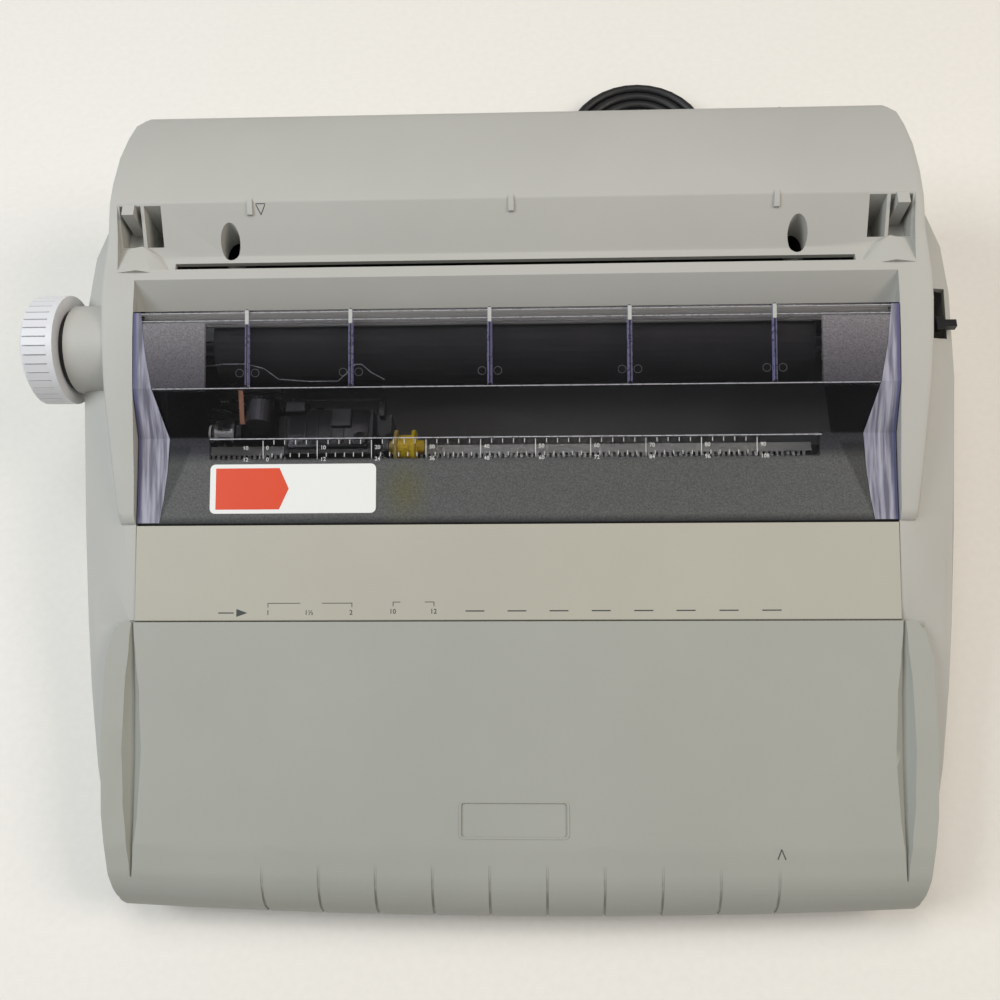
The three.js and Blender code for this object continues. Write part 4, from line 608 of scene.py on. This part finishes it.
def arrowCard(width, length, point, thick=0.04):
    piece = flatCard(width, length)
    rightEnd = width * mm / 2
    bpy.ops.mesh.select_all(action="DESELECT")
    selectWhere(piece, lambda co: co.x > rightEnd * 0.9)
    bpy.ops.mesh.subdivide(number_cuts=1)
    bpy.ops.mesh.select_all(action="DESELECT")
    selectWhere(piece, lambda co: co.x > rightEnd * 0.9 and abs(co.y) < length * mm * 0.1)
    bpy.ops.transform.translate(value=(point * mm, 0, 0))
    return thicken(piece, thick)


def frameCard(width, length, corner, band, thick):
    piece = flatCard(width, length)
    bpy.ops.mesh.bevel(offset=corner * mm, segments=5, affect="VERTICES")
    bpy.ops.mesh.select_all(action="SELECT")
    bpy.ops.mesh.inset(thickness=band * mm)
    bpy.ops.mesh.delete(type="FACE")
    return thicken(piece, thick)


def strokes(surface, points, width=0.3, thick=0.04):
    made = []
    for (x0, y0), (x1, y1) in zip(points, points[1:]):
        stroke = cardPiece(math.hypot(x1 - x0, y1 - y0) + width * 0.6, width, thick)
        turn = math.degrees(math.atan2(y1 - y0, x1 - x0))
        made.append(setOn(stroke, surface, (x0 + x1) / 2, (y0 + y1) / 2, turn=turn))
    return made


def numberPiece(text, height, thick=0.04):
    deselect()
    bpy.ops.object.text_add()
    piece = bpy.context.object
    piece.data.body = text
    piece.data.size = height / 0.73 * mm
    piece.data.extrude = thick / 2 * mm
    piece.data.offset = height * 0.012 * mm
    piece.data.resolution_u = 3
    piece.data.align_x = "CENTER"
    piece.data.align_y = "CENTER"
    bpy.ops.object.convert(target="MESH")
    return bpy.context.object


def dressNode(node, finishName):
    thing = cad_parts[node]
    thing.data.materials.clear()
    thing.data.materials.append(finishes[finishName])


# The cord: route points as in the model, then the coil by its formula, one centreline
cordLook = {
    "diameter": 5.5,
    "route": [
        (-20, 224.3, 22), (-20, 228, 22), (-20, 233, 21), (-19.6, 239, 17.8), (-18.6, 246, 12.5),
        (-16.6, 252.5, 8), (-13, 258.5, 4.8), (-8, 263.5, 3.2), (-1.5, 267, 2.9), (6, 268, 2.9),
        (13.2, 266.6, 2.95), (19.4, 263, 3.1), (24.4, 258.4, 3.5), (27.8, 254.8, 3.9), (29.7, 251.5, 4),
        (30, 249.6, 4),
    ],
    "centre": (74, 242), "outer": 44, "pitch": 6, "layerStep": 6, "turns": 8.361, "steps": 36, "lift": 4,
    "startAngle": math.pi,
}


# The coil winds inwards in one layer, climbs within half a turn and winds outwards above it
def coilPoint(look, turn):
    inward = min(turn, look["turns"] - turn)
    climb = min(max(turn - look["turns"] / 2 + 0.25, 0) * 2, 1)
    radius = look["outer"] - look["pitch"] * inward
    angle = look["startAngle"] + turn * 2 * math.pi
    x, y = look["centre"]
    return (x + radius * math.cos(angle), y + radius * math.sin(angle),
            look["lift"] + look["layerStep"] * climb * climb * (3 - 2 * climb))


def makeCord(look):
    count = round(look["turns"] * look["steps"])
    coil = [coilPoint(look, look["turns"] * i / count) for i in range(count + 1)]
    endAngle = look["startAngle"] + look["turns"] * 2 * math.pi
    straight = look["diameter"]
    last = coil[-1]
    coil.append((last[0] - math.sin(endAngle) * straight, last[1] + math.cos(endAngle) * straight, last[2]))
    points = [at(*p) for p in look["route"] + coil]
    path = bpy.data.curves.new("mainsCord", "CURVE")
    path.dimensions = "3D"
    spline = path.splines.new("POLY")
    spline.points.add(len(points) - 1)
    for spot, point in zip(spline.points, points):
        spot.co = (*point, 1)
    path.bevel_depth = look["diameter"] / 2 * mm
    path.bevel_resolution = 6
    path.use_fill_caps = True
    piece = bpy.data.objects.new("mains_cord", path)
    bpy.context.scene.collection.objects.link(piece)
    path.materials.append(finishes["cord"])
    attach(piece, "chassis")
    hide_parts("cord_run", "cord_coil")
    length = sum((b - a).length for a, b in zip(points, points[1:]))
    print("cord length", round(length, 4))
    return piece, points[0], length


cord, cordExit, cordLength = makeCord(cordLook)
plugPiece = rebuilt("power_plug", "chassis", "cord", width=1.4, segments=3)
reliefPiece = rebuilt("cord_strain_relief", "chassis", "cord", width=0.4)
tiePiece = rebuilt("cord_tie", "chassis", "white", width=0.2)
print("stage: cord")

# Housing and lids
rebuilt("base_pan", "chassis", "base", width=0.8, degrees=30)
rebuilt("main_cover", "chassis", "housing", width=0.7, degrees=40)
rebuilt("control_panel", "chassis", "panel", width=0.4)

# The cover's brow is one soft roll: its flat bands are cut into narrow ones and drawn onto the roll's line
browLook = {
    "line": [(-160, 45), (-179, 40), (-188, 31), (-190, 20)], "reach": 6.3, "depth": 3.0, "rearLimit": -150,
    "near": 0.2,
    "levels": [43.6, 42.9, 41.7, 41.3, 40.9, 40.5, 39.3, 38.6, 37.9, 37.2, 36.4, 35.5, 34.7, 33.9, 33.1,
               32.3, 31.6, 30.2, 29.3, 28.3, 27.2, 26.0, 24.8],
    "grooves": [-112.4 + 25.4 * i for i in range(10)], "beside": 1.1,
    "bow": 4.7, "half": 188.5,
}


# Where a point of the brow lies on the middle section, before the front falls back towards the ends
def unbowed(look, x, y, z):
    bow = look["bow"] * (x / look["half"]) ** 2
    bend, nose = look["line"][0][0], look["line"][2][0]
    flat = (y * (bend - nose) - bow * bend) / (bend - nose - bow)
    place = y if y >= bend else flat if flat > nose else y - bow
    for (y0, z0), (y1, z1) in zip(look["line"], look["line"][1:]):
        onLine = y0 + (y1 - y0) * (z - z0) / (z1 - z0)
        if z1 <= z <= z0 and abs(place - onLine) < look["near"]:
            return onLine
    return place


def browShift(look, x, y, z):
    shift = Vector((0, 0))
    spot = Vector((unbowed(look, x, y, z), z))
    corners = [Vector(point) for point in look["line"]]
    for before, corner, after in zip(corners, corners[1:], corners[2:]):
        back, ahead = (before - corner).normalized(), (after - corner).normalized()
        away = spot - corner
        side = back if away.dot(back) > away.dot(ahead) else ahead
        along = max(away.dot(side), 0)
        inward = (away - side * along).length
        if along < look["reach"] and inward < look["depth"]:
            fade = 1 - inward / look["depth"]
            shift += (back + ahead) * look["reach"] * (1 - along / look["reach"]) ** 2 / 4 * fade
    return shift


def roundBrow(piece, look):
    activate(piece)
    bpy.ops.object.mode_set(mode="EDIT")
    bpy.ops.mesh.select_mode(type="VERT")
    cuts = [(at(0, 0, level), (0, 0, 1)) for level in look["levels"]]
    cuts += [(at(x + side * look["beside"], 0, 0), (1, 0, 0)) for x in look["grooves"] for side in (-1, 1)]
    for place, way in cuts:
        bpy.ops.mesh.select_all(action="DESELECT")
        selectWhere(piece, lambda co: co.y < look["rearLimit"] * mm)
        bpy.ops.mesh.bisect(plane_co=place, plane_no=way)
    bpy.ops.object.mode_set(mode="OBJECT")
    for vert in piece.data.vertices:
        shift = browShift(look, (vert.co.x - middleX) / mm, vert.co.y / mm, vert.co.z / mm)
        vert.co += Vector((0, *shift)) * mm


coverSkin = mergedCopy("keyboard_cover", dissolve=0.3)
roundBrow(coverSkin, browLook)
bevel(coverSkin, width=0.3, segments=2, degrees=48)
applyAll(coverSkin)
finish(coverSkin, "keyboard_cover_skin", "keyboard_cover", "lid", ("keyboard_cover",))
smooth(coverSkin, 20)
weigh(coverSkin)
clearLid = rebuilt("clear_cover", "clear_cover", "smoked", width=0.4)
rebuilt("platen_knob", "platen", "knob", width=0.6, degrees=40)
rebuilt("knob_spacer", "platen", "black", width=0.3, degrees=40)
for foot in ("foot_front_left", "foot_front_right", "foot_rear_left", "foot_rear_right"):
    rebuilt(foot, "chassis", "rubber", width=0.8, segments=3)
print("stage: housing")

# Ribs and end walls of the clear lid
ribLook = {
    "places": [-121.7, -73.8, -10, 53.7, 119], "reach": 1.4, "front": 38.5, "rear": 71.6, "wall": 173.6,
    "facesSide": 0.5, "ribFacesSide": 0.3,
    "capWidth": 1.7, "capLength": 6.5, "capThick": 0.7, "capCorner": 0.4,
    "breaks": [(37.4, 166.0), (18.2, 141.5)], "lineWidth": 0.45, "lineThick": 0.12,
    "rearLines": [67.2, 70.6], "rearLineHalf": 172, "rearLineWidth": 0.315, "rearLineThick": 0.1,
    "proud": 0.05,
}


# End walls get the bluish finish; rib faces get painted shade, or the bluish-violet finish where they face
# sideways
def dressLid(piece, look):
    for finishName in ("edge", "ribShade", "ribSide"):
        piece.data.materials.append(finishes[finishName])
    for face in piece.data.polygons:
        x = (face.center.x - middleX) / mm
        y = face.center.y / mm
        onRib = any(abs(x - rib) < look["reach"] for rib in look["places"])
        if abs(x) > look["wall"] and abs(face.normal.x) > look["facesSide"]:
            face.material_index = 1
        elif onRib and y > look["front"]:
            face.material_index = 3 if abs(face.normal.x) > look["ribFacesSide"] else 2


dressLid(clearLid, ribLook)
# Painted highlights: pale caps at the ribs' rear ends
caps = [cardPiece(ribLook["capWidth"], ribLook["capLength"], ribLook["capThick"], ribLook["capCorner"], 3)
        for x in ribLook["places"]]
for cap, x in zip(caps, ribLook["places"]):
    setOn(cap, "lid", x, ribLook["rear"] - ribLook["capLength"] / 2, ribLook["capThick"])
finish(joined(caps), "rib_end_highlights", "clear_cover", "rack")
# Painted highlights: thin pale lines along the lid's two folds and near its rear edge
lines = []
for y, half in ribLook["breaks"]:
    line = cardPiece(2 * half, ribLook["lineWidth"], ribLook["lineThick"])
    lines.append(setOn(line, "lid", 0, y, ribLook["proud"]))
for y in ribLook["rearLines"]:
    line = cardPiece(2 * ribLook["rearLineHalf"], ribLook["rearLineWidth"], ribLook["rearLineThick"])
    lines.append(setOn(line, "lid", 0, y, ribLook["proud"]))
finish(joined(lines), "lid_highlight_lines", "clear_cover", "highlightEdge")

# Printing scale on the clear lid: two pitches, ten and twelve characters to the inch
scaleLook = {
    "start": -116.4, "step": 25.4, "longLines": 10, "long": (7.8, 17.6), "width": 0.34,
    "rows": [
        {"ticks": 5, "span": (15.6, 17.6), "numberY": 14.1, "count": 10, "digits": 1.9},
        {"ticks": 6, "span": (10.0, 11.9), "numberY": 8.9, "count": 12, "digits": 1.9},
    ],
    "labelX": -124.6, "numberShift": 1.3, "digitShift": 0.75, "numberProud": 0.04,
}


def makeScale(look):
    made = []
    last = look["longLines"] - 1
    for i in range(look["longLines"]):
        x = look["start"] + i * look["step"]
        front, rear = look["long"]
        made.append(setOn(cardPiece(look["width"], rear - front), "lid", x, (front + rear) / 2))
        for row in look["rows"]:
            text = str(i * row["count"])
            shift = look["numberShift"] + look["digitShift"] * len(text)
            number = numberPiece(text, row["digits"])
            made.append(setOn(number, "lid", x + shift, row["numberY"], look["numberProud"]))
            for k in range(1, row["ticks"] if i < last else 1):
                tickX = x + k * look["step"] / row["ticks"]
                front2, rear2 = row["span"]
                tick = cardPiece(look["width"], rear2 - front2)
                made.append(setOn(tick, "lid", tickX, (front2 + rear2) / 2))
    for row in look["rows"]:
        number = numberPiece(str(row["count"]), row["digits"])
        made.append(setOn(number, "lid", look["labelX"], row["numberY"], look["numberProud"]))
    finish(joined(made), "printing_scale", "clear_cover", "printWhite")


makeScale(scaleLook)

# Sticker on the lid: its white card and a plain arrow field, left without words
stickerLook = {"x": -102.2, "y": -4.3, "width": 77.6, "length": 23.0, "thick": 0.1, "corner": 2.4,
               "fieldX": -123.4, "fieldWidth": 29.8, "fieldLength": 19.3, "point": 4.4, "fieldProud": 0.12}
card = cardPiece(stickerLook["width"], stickerLook["length"], stickerLook["thick"], stickerLook["corner"])
setOn(card, "lid", stickerLook["x"], stickerLook["y"])
finish(card, "sticker_card", "clear_cover", "labelWhite")
field = arrowCard(stickerLook["fieldWidth"], stickerLook["fieldLength"], stickerLook["point"])
setOn(field, "lid", stickerLook["fieldX"], stickerLook["y"], stickerLook["fieldProud"])
finish(field, "sticker_arrow", "clear_cover", "labelOrange")

# Faint round ejector marks in the lid
ejectorLook = {"radius": 1.8, "wire": 0.09, "byRibs": 3.6, "ribY": 44.0, "frontY": -11.5,
               "frontX": [-161, -30, 24, 78, 132, 161]}
ejectors = [(x + side * ejectorLook["byRibs"], ejectorLook["ribY"]) for x in ribLook["places"]
            for side in (-1, 1)]
ejectors += [(x, ejectorLook["frontY"]) for x in ejectorLook["frontX"]]
rings = []
for x, y in ejectors:
    ring = ringPiece(ejectorLook["radius"], ejectorLook["wire"], (0, 0, 0), sides=20)
    rings.append(setOn(ring, "lid", x, y))
finish(joined(rings), "ejector_marks", "clear_cover", "faintEdge")

# Gleaming bands at the lid's two ends: rows of depth, inner edge and outer edge
gleamLook = {"rows": [(-19.6, 164.5, 174.9), (-10, 162.8, 174.9), (4, 161.2, 174.9), (18.5, 160.4, 174.9),
                      (28, 163.5, 174.9), (37.6, 166.5, 174.9), (54, 169.6, 174.9), (71, 171.4, 174.9)],
             "proud": 0.08, "thick": 0.12}


def gleamBand(look, side):
    rows = look["rows"]
    deselect()
    bpy.ops.mesh.primitive_grid_add(x_subdivisions=1, y_subdivisions=len(rows) - 1, size=2)
    piece = bpy.context.object
    for vert in piece.data.vertices:
        y, inner, outer = rows[round((vert.co.y + 1) / 2 * (len(rows) - 1))]
        x = inner if vert.co.x * side < 0 else outer
        vert.co = at(side * x, y, heightAt("lid", y)[0] + look["proud"])
    activate(piece)
    bpy.ops.object.mode_set(mode="EDIT")
    return thicken(piece, look["thick"])


finish(joined([gleamBand(gleamLook, side) for side in (-1, 1)]), "lid_end_gleams", "clear_cover", "gleam")
print("stage: clear lid")

# Marks on the strip: an arrow, two brackets with plain numbers, and a dash for each key function
stripLook = {
    "arrow": {"x": -125.2, "y": -59.6, "width": 4.8, "length": 3.4},
    "leader": [(-136, -59.6), (-129.2, -59.6)],
    "lineBracket": {"left": -113.1, "right": -74.2, "top": -55.4, "foot": -57.2, "gap": (-98.2, -88.0)},
    "pitchBracket": {"left": -55.2, "right": -36.4, "top": -55.0, "foot": -56.8, "gap": (-52.0, -40.5)},
    "numbers": [("1", -113.1, -59.6), ("1½", -94.0, -59.6), ("2", -74.6, -59.6), ("10", -55.4, -59.2),
                ("12", -36.6, -59.2)],
    "digits": 2.3, "stroke": 0.32, "leaderStroke": 0.55, "tail": 0.3, "numberProud": 0.04,
    "dashes": [-17.6, 1.6, 20.8, 40.0, 59.3, 78.4, 97.8, 117.1], "dashY": -59.0, "dash": (8.6, 0.55),
}


def bracketMarks(look, stroke):
    left, right, top, foot = (look[k] for k in ("left", "right", "top", "foot"))
    gapLeft, gapRight = look["gap"]
    return (strokes("strip", [(left, foot), (left, top), (gapLeft, top)], stroke)
            + strokes("strip", [(gapRight, top), (right, top), (right, foot)], stroke))


def makeStripMarks(look):
    made = []
    for bracket in ("lineBracket", "pitchBracket"):
        made += bracketMarks(look[bracket], look["stroke"])
    for text, x, y in look["numbers"]:
        made.append(setOn(numberPiece(text, look["digits"]), "strip", x, y, look["numberProud"]))
    arrow = look["arrow"]
    head = arrowCard(look["tail"], arrow["length"], arrow["width"])
    made.append(setOn(head, "strip", arrow["x"] - arrow["width"] / 2, arrow["y"]))
    made += strokes("strip", look["leader"], look["leaderStroke"])
    for x in look["dashes"]:
        made.append(setOn(cardPiece(*look["dash"]), "strip", x, look["dashY"]))
    finish(joined(made), "strip_marks", "chassis", "print")


makeStripMarks(stripLook)

# Name plate frame and alignment mark on the keyboard cover, paper mark on the trough's slope
plateLook = {"y": -149.6, "width": 47.2, "length": 14.6, "corner": 2.2, "band": 0.9, "thick": 0.45,
             "sunk": 0.1}
markLook = {"stroke": 0.4, "cover": [(115.5, -165.6), (117.2, -161.4), (118.9, -165.6)],
            "trough": [(-118.6, 120.2), (-114.4, 120.2), (-116.5, 115.8), (-118.6, 120.2)]}
band = plateLook["band"]
plateFrame = frameCard(plateLook["width"] + 2 * band, plateLook["length"] + 2 * band,
                       plateLook["corner"], band, plateLook["thick"])
setOn(plateFrame, "cover", 0, plateLook["y"], -plateLook["sunk"])
finish(plateFrame, "name_plate_frame", "keyboard_cover", "lid")
coverMark = joined(strokes("cover", markLook["cover"], markLook["stroke"]))
finish(coverMark, "cover_mark", "keyboard_cover", "print")
paperMark = joined(strokes("trough", markLook["trough"], markLook["stroke"]))
finish(paperMark, "paper_mark", "chassis", "print")
print("stage: marks")

# Ledge under the clear lid's rear edge, over which the paper leaves
ledgeLook = {"shelf": ((344, 7.4, 1.2), (0, 70.3, 105.0)), "rail": ((351, 1.6, 1.6), (0, 73.2, 105.0)),
             "edge": 0.4}
ledge = joined([roundedPiece(blockPiece(*ledgeLook[part]), ledgeLook["edge"]) for part in ("shelf", "rail")])
finish(ledge, "paper_exit_ledge", "chassis", "ledge")

# Works under the lids
plainNodes = {
    "steel": ["line_feed_motor", "pressure_frame", "wheel_motor", "carriage_motor"],
    "iron": ["left_side_frame", "right_side_frame", "transformer", "print_hammer"],
    "bright": ["platen_shaft", "guide_shaft", "correction_supply_spool", "platen_gear"],
    "white": ["line_feed_pinion", "drive_pinion"],
    "black": ["paper_pan", "daisy_wheel", "carriage_rack", "keyboard_frame", "paper_release_lever",
              "power_switch"],
    "platen": ["platen_roller"],
    "rubber": ["feed_roller"],
    "clear": ["card_guide"],
    "board": ["main_board", "keyboard_board"],
    "keyLight": ["number_row_keys", "upper_row_keys", "home_row_keys", "lower_row_keys", "space_bar"],
    "keyDark": ["backspace_key", "tab_key", "relocate_key", "lock_key", "return_key", "left_shift_key",
                "right_shift_key", "code_key"],
}
for finishName, names in plainNodes.items():
    for name in names:
        dressNode(name, finishName)

# Print carriage: bevelled frame and cassette, tapes, a thin line along the card guide's edge as a painted
# highlight, and small fittings
rebuilt("carriage_frame", "carriage", "black", width=0.5, degrees=40)
rebuilt("ribbon_cassette", "carriage", "black", width=0.7, degrees=40)
takeup = rebuilt("correction_takeup_spool", "takeup_spool", "yellow", width=0.3, degrees=40)
takeup.data.materials.append(finishes["yellowClear"])
clearUpTo = -54  # the spool's left flange is clear
for face in takeup.data.polygons:
    if (face.center.x - middleX) / mm < clearUpTo:
        face.material_index = 1

carriageLook = {
    "lid": ((38, 20, 1.4), (-87, 26, 80.3)), "lidEdge": 0.6,
    "lidRibs": [-98, -92, -86, -80], "rib": (0.8, 14, 0.6), "ribEdge": 0.2, "ribRise": 1,
    "winder": (3.6, 2.2, (-72, 20, 81)), "winderEdge": 0.5,
    "tape": (2.2, 16.0, 0.3, -127.4, 34), "ring": (4.0, 0.5, (-142.9, 24, 79.5)),
    "guideWire": 0.22,
    "guide": [(-147, 49.4, 94.4), (-143, 50.8, 97.4), (-135, 51.2, 98.6), (-124, 51.2, 98.6),
              (-116, 49.9, 96.4), (-110, 46.8, 92), (-96, 46, 91), (-82, 46, 91), (-77, 48.4, 94.6),
              (-73, 50.8, 97.8), (-70, 50.8, 97.8), (-66, 48.4, 94.6), (-60, 46.2, 91.6)],
}


def makeCarriageParts(look):
    parts = [roundedPiece(blockPiece(*look["lid"]), look["lidEdge"])]
    middle, height = look["lid"][1][1:]
    for x in look["lidRibs"]:
        rib = blockPiece(look["rib"], (x, middle, height + look["ribRise"]))
        parts.append(roundedPiece(rib, look["ribEdge"]))
    parts.append(roundedPiece(rodPiece(*look["winder"], axis="Z", sides=24), look["winderEdge"]))
    finish(joined(parts), "cassette_lid", "carriage", "black")
    width, length, thick, x, y = look["tape"]
    tape = setOn(cardPiece(width, length, thick), "tape", x, y)
    finish(tape, "correction_tape", "carriage", "copper")
    ring = ringPiece(*look["ring"], turn=(0, math.pi / 2, 0))
    finish(ring, "spool_ring", "carriage", "white")
    # Painted highlight: a thin pale line along the card guide's top edge
    rim = wirePiece(look["guide"], look["guideWire"])
    finish(rim, "card_guide_highlight", "carriage", "highlightEdge")


makeCarriageParts(carriageLook)

# Light comb lying on the rack: its teeth are what shows through the lid below the printing scale
combLook = {"left": -160.0, "right": 142.0, "pitch": 2.54, "tooth": 1.3, "front": 15.6, "root": 18.6,
            "rear": 23.2, "low": 64.05, "thick": 1.0, "barEdge": 0.25, "toothEdge": 0.2, "lap": 0.3,
            "toothShare": 0.96}


def makeComb(look):
    span = look["right"] - look["left"]
    middle = look["low"] + look["thick"] / 2
    bar = blockPiece((span, look["rear"] - look["root"], look["thick"]),
                     ((look["left"] + look["right"]) / 2, (look["root"] + look["rear"]) / 2, middle))
    bar = roundedPiece(bar, look["barEdge"])
    depth = look["root"] - look["front"] + look["lap"]
    tooth = blockPiece((look["tooth"], depth, look["thick"] * look["toothShare"]),
                       (look["left"] + look["pitch"] / 2, look["front"] + depth / 2, middle))
    row = tooth.modifiers.new("row", "ARRAY")
    row.use_relative_offset = False
    row.use_constant_offset = True
    row.constant_offset_displace = (look["pitch"] * mm, 0, 0)
    row.count = math.floor(span / look["pitch"])
    bevel(tooth, look["toothEdge"], segments=1)
    applyAll(tooth)
    finish(joined([bar, tooth]), "rack_comb", "chassis", "rack")


makeComb(combLook)
print("stage: works")


# Floor and light
stageLook = {
    "floor": ((234, 231, 224), (243, 239, 232)), "floorSize": 8, "floorGrain": 260.0, "floorRoughness": 0.7,
    "worldTone": (0.97, 0.98, 1.0), "world": 0.24,
    "lamps": {
        "overhead": {"place": (-0.1, 0.47, 1.4), "size": 0.6, "power": 4.6, "tone": (1, 0.98, 0.94)},
        "left": {"place": (-1.15, 0.0, 1.3), "size": 0.8, "power": 14.6, "tone": (0.88, 0.95, 1)},
        "right": {"place": (1.2, 0.0, 1.3), "size": 0.8, "power": 12.0, "tone": (1, 0.9, 0.78)},
    },
}


def makeStage(look):
    deselect()
    bpy.ops.mesh.primitive_plane_add(size=look["floorSize"], location=(0, 0, 0))
    floor = bpy.context.object
    floor.name = "studioFloor"
    made, nodes, links, shader = newMaterial("floorWhite")
    grain = objectNoise(nodes, links, look["floorGrain"])
    low, high = look["floor"]
    tone = mixedColor(nodes, links, grain.outputs["Fac"], linear(*low), linear(*high))
    links.new(tone, shader.inputs["Base Color"])
    shader.inputs["Roughness"].default_value = look["floorRoughness"]
    floor.data.materials.append(made)
    world = bpy.data.worlds.new("studioWorld")
    bpy.context.scene.world = world
    world.use_nodes = True
    background = world.node_tree.nodes["Background"]
    background.inputs["Color"].default_value = (*look["worldTone"], 1)
    background.inputs["Strength"].default_value = look["world"]
    for name, lamp in look["lamps"].items():
        bpy.ops.object.light_add(type="AREA", location=lamp["place"])
        light = bpy.context.object
        light.name = name + "Lamp"
        light.data.size = lamp["size"]
        light.data.energy = lamp["power"]
        light.data.color = lamp["tone"]
        light.rotation_euler = (-Vector(lamp["place"])).to_track_quat("-Z", "Y").to_euler()


makeStage(stageLook)
bpy.context.scene.view_settings.view_transform = "Standard"
print("stage: floor and light")
